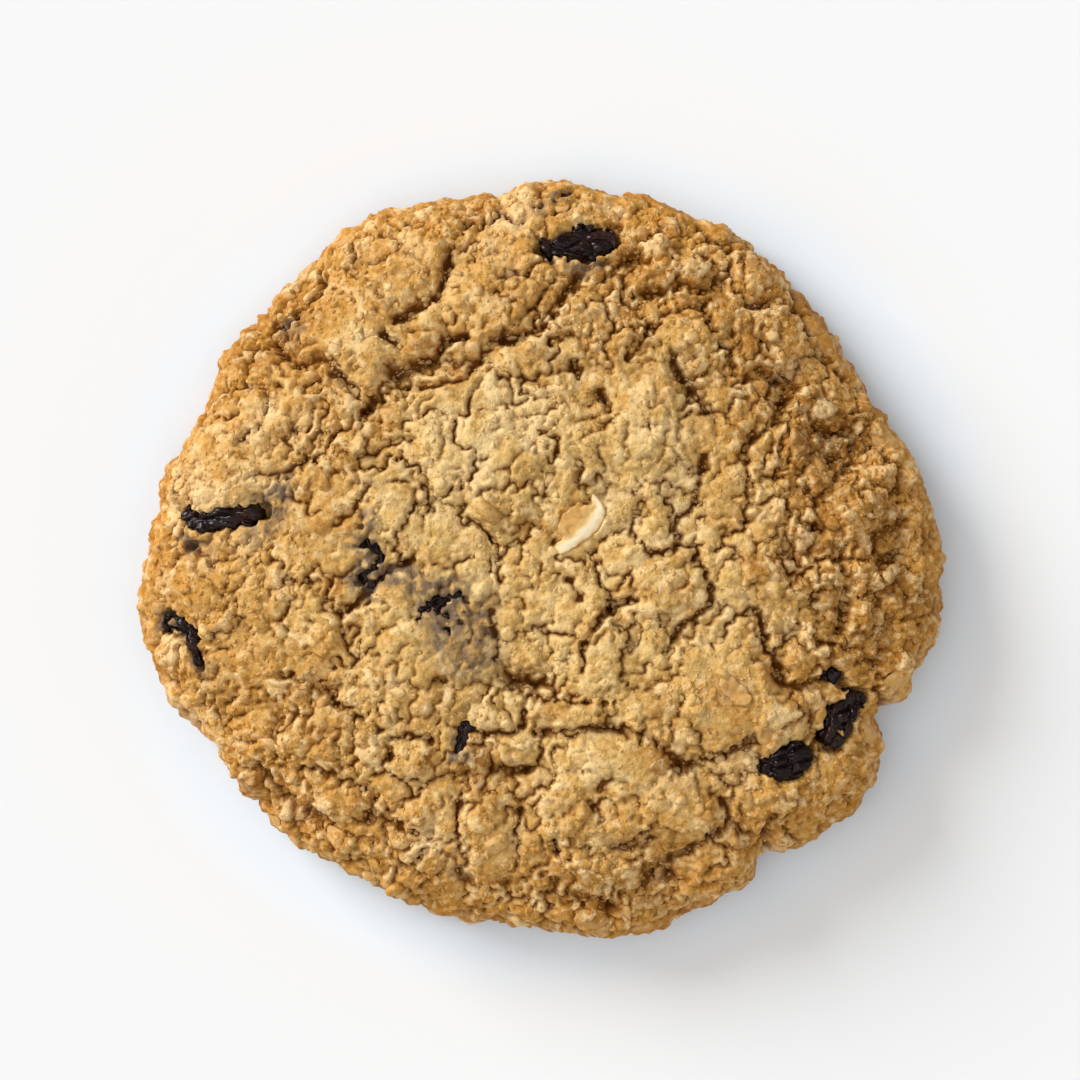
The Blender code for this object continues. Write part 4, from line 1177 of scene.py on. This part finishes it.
def copy_of_node(name, piece_name, roundings):
    """A welded copy of a CAD node, rounded by subdividing it."""
    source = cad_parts[name]
    piece = bpy.data.objects.new(piece_name, source.data.copy())
    bpy.context.scene.collection.objects.link(piece)
    piece.data.materials.clear()
    only_select(piece)
    bpy.ops.object.mode_set(mode="EDIT")
    bpy.ops.mesh.select_all(action="SELECT")
    bpy.ops.mesh.remove_doubles(threshold=0.00001)
    bpy.ops.object.mode_set(mode="OBJECT")
    apply_modifier(piece, "SUBSURF", levels=roundings, render_levels=roundings)
    piece.data.shade_smooth()
    return piece


def tuck_under_crust(piece, maps, opening, proud, draped):
    """Keeps a piece just proud of the crust where its window opens, and under the crust elsewhere. Where
    its top is too low, it rises to the crust by the draped share."""
    places = vertex_places(piece.data)
    u, v, _, raised, off = flat_places(places)
    crust = read_map(blurred(maps["cover"], 1.2), u, v)
    open_here = smooth_step(0.25, 0.6, read_map(blurred(maps[opening], 0.12), u, v))
    shift = crust - 0.8 + (0.8 + proud) * open_here - raised
    on_top = smooth_step(0.0, 0.5, (vertex_normals(piece.data) * off).sum(1))
    shift = np.where(shift > 0, shift * on_top * open_here * draped, shift)
    move_vertices(piece.data, places + off * shift[:, None])
    return u, v


def vertex_normals(mesh):
    """The way out of the surface at each vertex."""
    normals = np.empty(len(mesh.vertices) * 3, np.float32)
    mesh.vertex_normals.foreach_get("vector", normals)
    return normals.reshape(-1, 3)


def crumpled(points, size):
    """0 in the creases and near 1 on the cushions of a crumpled skin, with folds about size apart."""
    creases = np.empty(len(points))
    for number, point in enumerate(points / size):
        near = noise.voronoi(point)[0]
        creases[number] = near[1] - near[0]
    return 1 - np.exp(-creases / 0.22)


def make_raisin(name, number, maps):
    """A raisin in its pocket, its skin shrunk into folds that run along it."""
    piece = copy_of_node(name, "wrinkled_" + name, 3)
    tuck_under_crust(piece, maps, "window", PROUD.get(name, 0.0), 0.75)
    places = vertex_places(piece.data)
    local = places - places.mean(0)
    ways = np.linalg.svd(local[::7], full_matrices=False)[2]
    part = local @ ways.T
    part[:, 0] *= 0.45
    slender = min(1, np.abs(part[:, 1]).max() / 2.6)
    part += 20 * number
    set_mask(piece.data, "warm", np.full(len(places), 1.0 if name in WARM_SKINS else 0.0))
    depth = slender * (0.62 * (crumpled(part, 1.5) - 0.6) + 0.17 * crumpled(part + 7, 0.6))
    move_vertices(piece.data, places + vertex_normals(piece.data) * depth[:, None])
    return piece


def make_chip(name, maps):
    """A white chocolate drop that melted under a skin of dough, with a clean edge where it broke out."""
    piece = copy_of_node(name, "melted_" + name, 4)
    places = vertex_places(piece.data)
    out = np.hypot(*(places - places.mean(0))[:, :2].T)
    dome = 0.02 + 0.25 * (1 - (out / out.max()) ** 2)
    u, v = tuck_under_crust(piece, maps, "chip", dome, 1.0)
    clean = read_map(maps["clean"], u, v)
    grain = read_map(maps["cover"] - blurred(maps["cover"], 0.9), u, v)
    places = vertex_places(piece.data)
    depth = 0.9 * grain * (1 - clean) ** 2 + 0.12 * clean
    depth = depth * smooth_step(places[:, 2].max() - 4, places[:, 2].max() - 2, places[:, 2])
    move_vertices(piece.data, places + vertex_normals(piece.data) * depth[:, None])
    paint_masks(piece, maps)
    set_mask(piece.data, "clean", clean)
    set_mask(piece.data, "bare", read_map(maps["chip"], u, v))
    return piece


# ---------------------------------------------------------------- materials


def node(tree, kind, inputs=None, **settings):
    """Adds a node with its settings. Each input, by name or number, is a value or a socket to link."""
    added = tree.nodes.new(kind)
    for key, value in settings.items():
        setattr(added, key, value)
    for key, value in (inputs or {}).items():
        if isinstance(value, bpy.types.NodeSocket):
            tree.links.new(value, added.inputs[key])
        else:
            added.inputs[key].default_value = value
    return added


def laid_over(tree, under, over, mask, low, high, most=1.0, within=None):
    """One colour laid over another by a mask: none of it up to low, and most of it from high on. Within is
    a second mask, from 0 to 1, that it keeps to."""
    limits = {"Value": mask, "From Min": low, "From Max": high, "To Max": most}
    share = node(tree, "ShaderNodeMapRange", limits).outputs[0]
    if within is not None:
        share = node(tree, "ShaderNodeMath", {0: share, 1: within}, operation="MULTIPLY").outputs[0]
    return node(tree, "ShaderNodeMix", {0: share, 6: under, 7: over}, data_type="RGBA").outputs[2]


def start_material(name, *mask_names):
    """A new material: its node tree, the place on the piece and the masks stored on the piece."""
    made = bpy.data.materials.new(name)
    made.use_nodes = True
    tree = made.node_tree
    place = node(tree, "ShaderNodeTexCoord").outputs["Object"]
    masks = {}
    for mask in mask_names:
        masks[mask] = node(tree, "ShaderNodeAttribute", attribute_name=mask).outputs["Fac"]
    return made, tree, place, masks


def finish_material(made, colour, roughness, specular, height, strength, depth):
    """Gives the shader its colour, its gloss and a bump of some depth in millimetres."""
    shader = made.node_tree.nodes["Principled BSDF"]
    bump = {"Height": height, "Strength": strength, "Distance": depth * MM}
    bump = node(made.node_tree, "ShaderNodeBump", bump).outputs[0]
    made.node_tree.links.new(colour, shader.inputs["Base Color"])
    made.node_tree.links.new(bump, shader.inputs["Normal"])
    shader.inputs["Roughness"].default_value = roughness
    shader.inputs["Specular IOR Level"].default_value = specular
    return made


def crumb_colour(tree, place, masks):
    """The colour of baked dough from its masks, with painted shade in its hollows and painted highlights on
    its raised grain, and its fine grain as a height.
    """
    fine = {"Vector": place, "Scale": 1 / (CRUMB_GRAIN * MM), "Detail": 3, "Roughness": 0.55}
    grain = node(tree, "ShaderNodeTexNoise", fine).outputs[0]
    coarse = {"Vector": place, "Scale": 1 / (TOAST_PATCH * MM), "Detail": 3}
    patches = node(tree, "ShaderNodeTexNoise", coarse).outputs[0]
    spread = {"Value": patches, "From Min": 0.2, "From Max": 0.6}
    patches = node(tree, "ShaderNodeMapRange", spread).outputs[0]
    layers = (
        # the colour, its mask, where it starts and is full, how much of it, and what it keeps to
        (GOLDEN_CRUST, masks["outward"], 0.35, 0.95, 1.0, None),
        (DULL_CRUMB, masks["dull"], 0.0, 1.0, 0.85, None),
        (PALE_OAT_AND_HIGHLIGHT, masks["toasted"], 0.25, -0.25, 0.8, None),
        (TOASTED_CRUST, masks["toasted"], 0.15, 0.9, 1.0, patches),
        (SCORCHED_CRUST, masks["toasted"], 0.7, 1.5, 1.0, None),
        (BROWN_RIM, masks["outward"], 0.92, 1.0, 0.7, None),
        # Pale oats and crumb tones, with a painted highlight on raised grains and painted shade in fine
        # hollows, by the tint.
        (PALE_OAT_AND_HIGHLIGHT, masks["tint"], 0.55, 1.0, 0.7, None),
        (TOASTED_CRUST, masks["tint"], 0.45, 0.0, 0.4, None),
        # Painted highlight on the bump's raised grains and painted shade in its pits, over the crumb's own
        # pale and amber specks.
        (PALE_OAT_AND_HIGHLIGHT, grain, 0.5, 0.7, 0.42, None),
        (AMBER_GRAIN_AND_PIT_SHADE, grain, 0.48, 0.3, 0.5, None),
        # Painted shade in hollows and cracks, over the darker crumb there.
        (CREVICE_SHADE_BROWN, masks["crevice_shade"], 0.0, 1.0, 1.0, None),
    )
    colour = srgb(PALE_CRUMB)
    for code, mask, low, high, most, within in layers:
        colour = laid_over(tree, colour, srgb(code), mask, low, high, most, within)
    return colour, grain


def dough_material():
    """Baked oat dough: dry, matt and rough as crumb, paler in the middle and browner at the rim."""
    names = "crevice_shade", "toasted", "dull", "outward", "underside", "tint", "stain_and_shade"
    made, tree, place, masks = start_material("baked_oat_dough", *names)
    colour, grain = crumb_colour(tree, place, masks)
    specks = {"Vector": place, "Scale": 1 / (JUICE_SPECK * MM), "Detail": 2}
    specks = node(tree, "ShaderNodeTexNoise", specks).outputs[0]
    # Raisin stain and juice specks, with painted shade and a dark painted shadow beside the raisins.
    juice_and_shadow = laid_over(tree, srgb(RAISIN_STAIN_AND_SHADE), srgb(RAISIN_JUICE_AND_SHADOW), specks, 0.52, 0.74)
    colour = laid_over(tree, colour, juice_and_shadow, masks["stain_and_shade"], 0.05, 0.7, 0.9)
    colour = laid_over(tree, colour, srgb(BROWN_RIM), masks["underside"], 0.0, 1.0)
    return finish_material(made, colour, 0.7, 0.12, grain, 1.0, 0.34)


def oat_material():
    """Rolled oat flakes: pale straw, satin and smoother than the crumb around them."""
    made, tree, place, masks = start_material("rolled_oat", "toasted", "outward")
    streaks = {"Vector": place, "Scale": 1 / (OAT_STREAK * MM), "Detail": 3}
    streaks = node(tree, "ShaderNodeTexNoise", streaks).outputs[0]
    colour = laid_over(tree, srgb(STRAW_OAT), srgb(BAKED_OAT), masks["outward"], 0.3, 1.0, 0.6)
    colour = laid_over(tree, colour, srgb(TOASTED_CRUST), masks["toasted"], 0.2, 1.0, 0.6)
    colour = laid_over(tree, colour, srgb(TOASTED_CRUST), streaks, 0.35, 0.7, 0.7)
    return finish_material(made, colour, 0.5, 0.3, streaks, 0.8, 0.3)


def raisin_material():
    """Raisin skin: nearly black purple-brown, crumpled and shiny with sugar syrup."""
    made, tree, place, masks = start_material("raisin_skin", "warm")
    blush = {"Vector": place, "Scale": 1 / (RAISIN_BLUSH * MM), "Detail": 3}
    blush = node(tree, "ShaderNodeTexNoise", blush).outputs[0]
    pores = {"Vector": place, "Scale": 1 / (RAISIN_PORE * MM), "Detail": 2}
    pores = node(tree, "ShaderNodeTexNoise", pores).outputs[0]
    colour = laid_over(tree, srgb(RAISIN_SKIN), srgb(RAISIN_FLESH), blush, 0.5, 0.75)
    colour = laid_over(tree, colour, srgb(RAISIN_RED), blush, 0.3, 0.6, 1.0, masks["warm"])
    gloss = {"Value": pores, "From Min": 0.3, "From Max": 0.7, "To Min": 0.05, "To Max": 0.17}
    gloss = node(tree, "ShaderNodeMapRange", gloss).outputs[0]
    finish_material(made, colour, 0.1, 0.23, pores, 0.8, 0.2)
    tree.links.new(gloss, tree.nodes["Principled BSDF"].inputs["Roughness"])
    return made


def chip_material():
    """White chocolate: toasted golden under a skin of dough, and creamy and smooth on its clean edge."""
    names = "crevice_shade", "toasted", "dull", "outward", "tint", "clean", "bare"
    made, tree, place, masks = start_material("white_chocolate", *names)
    skin, grain = crumb_colour(tree, place, masks)
    scorch = {"Vector": place, "Scale": 1 / (SCORCH_PATCH * MM), "Detail": 4}
    scorch = node(tree, "ShaderNodeTexNoise", scorch).outputs[0]
    bare = {"Value": masks["bare"], "From Min": 0.4, "From Max": 1.0}
    bare = node(tree, "ShaderNodeMapRange", bare).outputs[0]
    skin = laid_over(tree, skin, srgb(GOLDEN_CHIP), scorch, 0.3, 0.6, 0.8, bare)
    colour = laid_over(tree, skin, srgb(MELTED_CHIP), masks["clean"], 0.05, 0.45)
    colour = laid_over(tree, colour, srgb(CREAM_CHIP), masks["clean"], 0.35, 0.85)
    return finish_material(made, colour, 0.5, 0.35, grain, 0.4, 0.2)


# ---------------------------------------------------------------- the studio


def paper_material():
    """Matt white paper, with a cooler tint that evens out the warm light that the cookie throws round it."""
    made, tree, place, _ = start_material("studio_paper")
    oval = node(tree, "ShaderNodeMapping", {"Vector": place, "Scale": (1, TINT_OVAL, 1)}).outputs[0]
    out = node(tree, "ShaderNodeVectorMath", {0: oval}, operation="LENGTH").outputs["Value"]
    near = {"Value": out, "From Min": TINT_END * MM, "From Max": TINT_FULL * MM}
    near = node(tree, "ShaderNodeMapRange", near, interpolation_type="SMOOTHSTEP").outputs[0]
    tint = {0: near, 6: srgb(PLAIN_PAPER), 7: srgb(COOL_PAPER)}
    tint = node(tree, "ShaderNodeMix", tint, data_type="RGBA").outputs[2]
    shader = tree.nodes["Principled BSDF"]
    tree.links.new(tint, shader.inputs["Base Color"])
    shader.inputs["Roughness"].default_value = 1.0
    shader.inputs["Specular IOR Level"].default_value = 0.0
    return made


def build_studio():
    """Pale floor, soft key light from the upper left, even fill and a camera straight above."""
    bpy.ops.object.select_all(action="DESELECT")
    bpy.ops.mesh.primitive_plane_add(size=4)
    floor = bpy.context.object
    floor.name = "studio_floor"
    floor.data.materials.append(paper_material())

    for name, strength, width, azimuth, elevation in LAMPS:
        light = bpy.data.lights.new(name, "SUN")
        light.energy = strength
        light.angle = math.radians(width)
        lamp = bpy.data.objects.new(name, light)
        turn, rise = math.radians(azimuth), math.radians(elevation)
        toward = Vector((math.cos(turn), math.sin(turn), math.tan(rise)))
        lamp.rotation_euler = toward.to_track_quat("Z", "Y").to_euler()
        bpy.context.scene.collection.objects.link(lamp)

    world = bpy.data.worlds.new("studio")
    world.use_nodes = True
    sky = world.node_tree.nodes["Background"]
    sky.inputs["Color"].default_value = (1, 1, 1, 1)
    sky.inputs["Strength"].default_value = SKY_STRENGTH
    bpy.context.scene.world = world

    view = bpy.data.cameras.new("camera")
    view.sensor_width = SENSOR_WIDTH
    view.lens = SENSOR_WIDTH * CAMERA_DISTANCE / CAMERA_SEES
    camera = bpy.data.objects.new("camera", view)
    aim_x, aim_y, aim_z = CAMERA_AIM
    camera.location = (aim_x, aim_y, aim_z + CAMERA_DISTANCE)
    bpy.context.scene.collection.objects.link(camera)
    bpy.context.scene.camera = camera
    bpy.context.scene.view_settings.view_transform = "Standard"


def finish_piece(piece, material, slot, *nodes):
    """Gives a piece its material and its body, and hides the CAD nodes that it stands for."""
    piece.data.materials.append(material)
    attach(piece, "root")
    if nodes:
        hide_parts(*nodes)


def main():
    """Makes the studio, the dough, the flakes, crumbs and bran on it, the raisins and the chips."""
    build_studio()
    maps = crust_maps()
    maps["underside"] = underside_map()
    baked = dough_material()
    finish_piece(make_dough(maps), baked, "dough", "oat_dough")

    finish_piece(scatter_flakes(maps), oat_material(), "dough")
    rim = smooth_step(24, 46, np.hypot(MAP_X, MAP_Y))
    patches = smooth_step(-0.4, 1.2, lumps(6, 201))
    likely = 0.08 + 0.4 * patches + 0.5 * rim + 0.3 * maps["crevice_shade"] + 1.4 * maps["rough"]
    shapes = lump_shapes(24, 2, 0.06, 6, 212)
    crumbs = scatter_crumbs("oat_crumbs", maps, CRUMBS, likely, shapes, 222)
    finish_piece(crumbs, baked, "dough")
    likely = 0.15 + 0.5 * patches + 0.4 * rim + 0.6 * maps["crevice_shade"] + 0.6 * maps["rough"]
    shapes = lump_shapes(24, 1, 0.1, 2, 214)
    bran = scatter_crumbs("oat_bran", maps, BRAN, likely, shapes, 242)
    finish_piece(bran, baked, "dough")

    skin, cream = raisin_material(), chip_material()
    for number, name in enumerate(RAISINS):
        finish_piece(make_raisin(name, number, maps), skin, "raisin", name)
    for name in CHIPS:
        finish_piece(make_chip(name, maps), cream, "white_chip", name)


main()
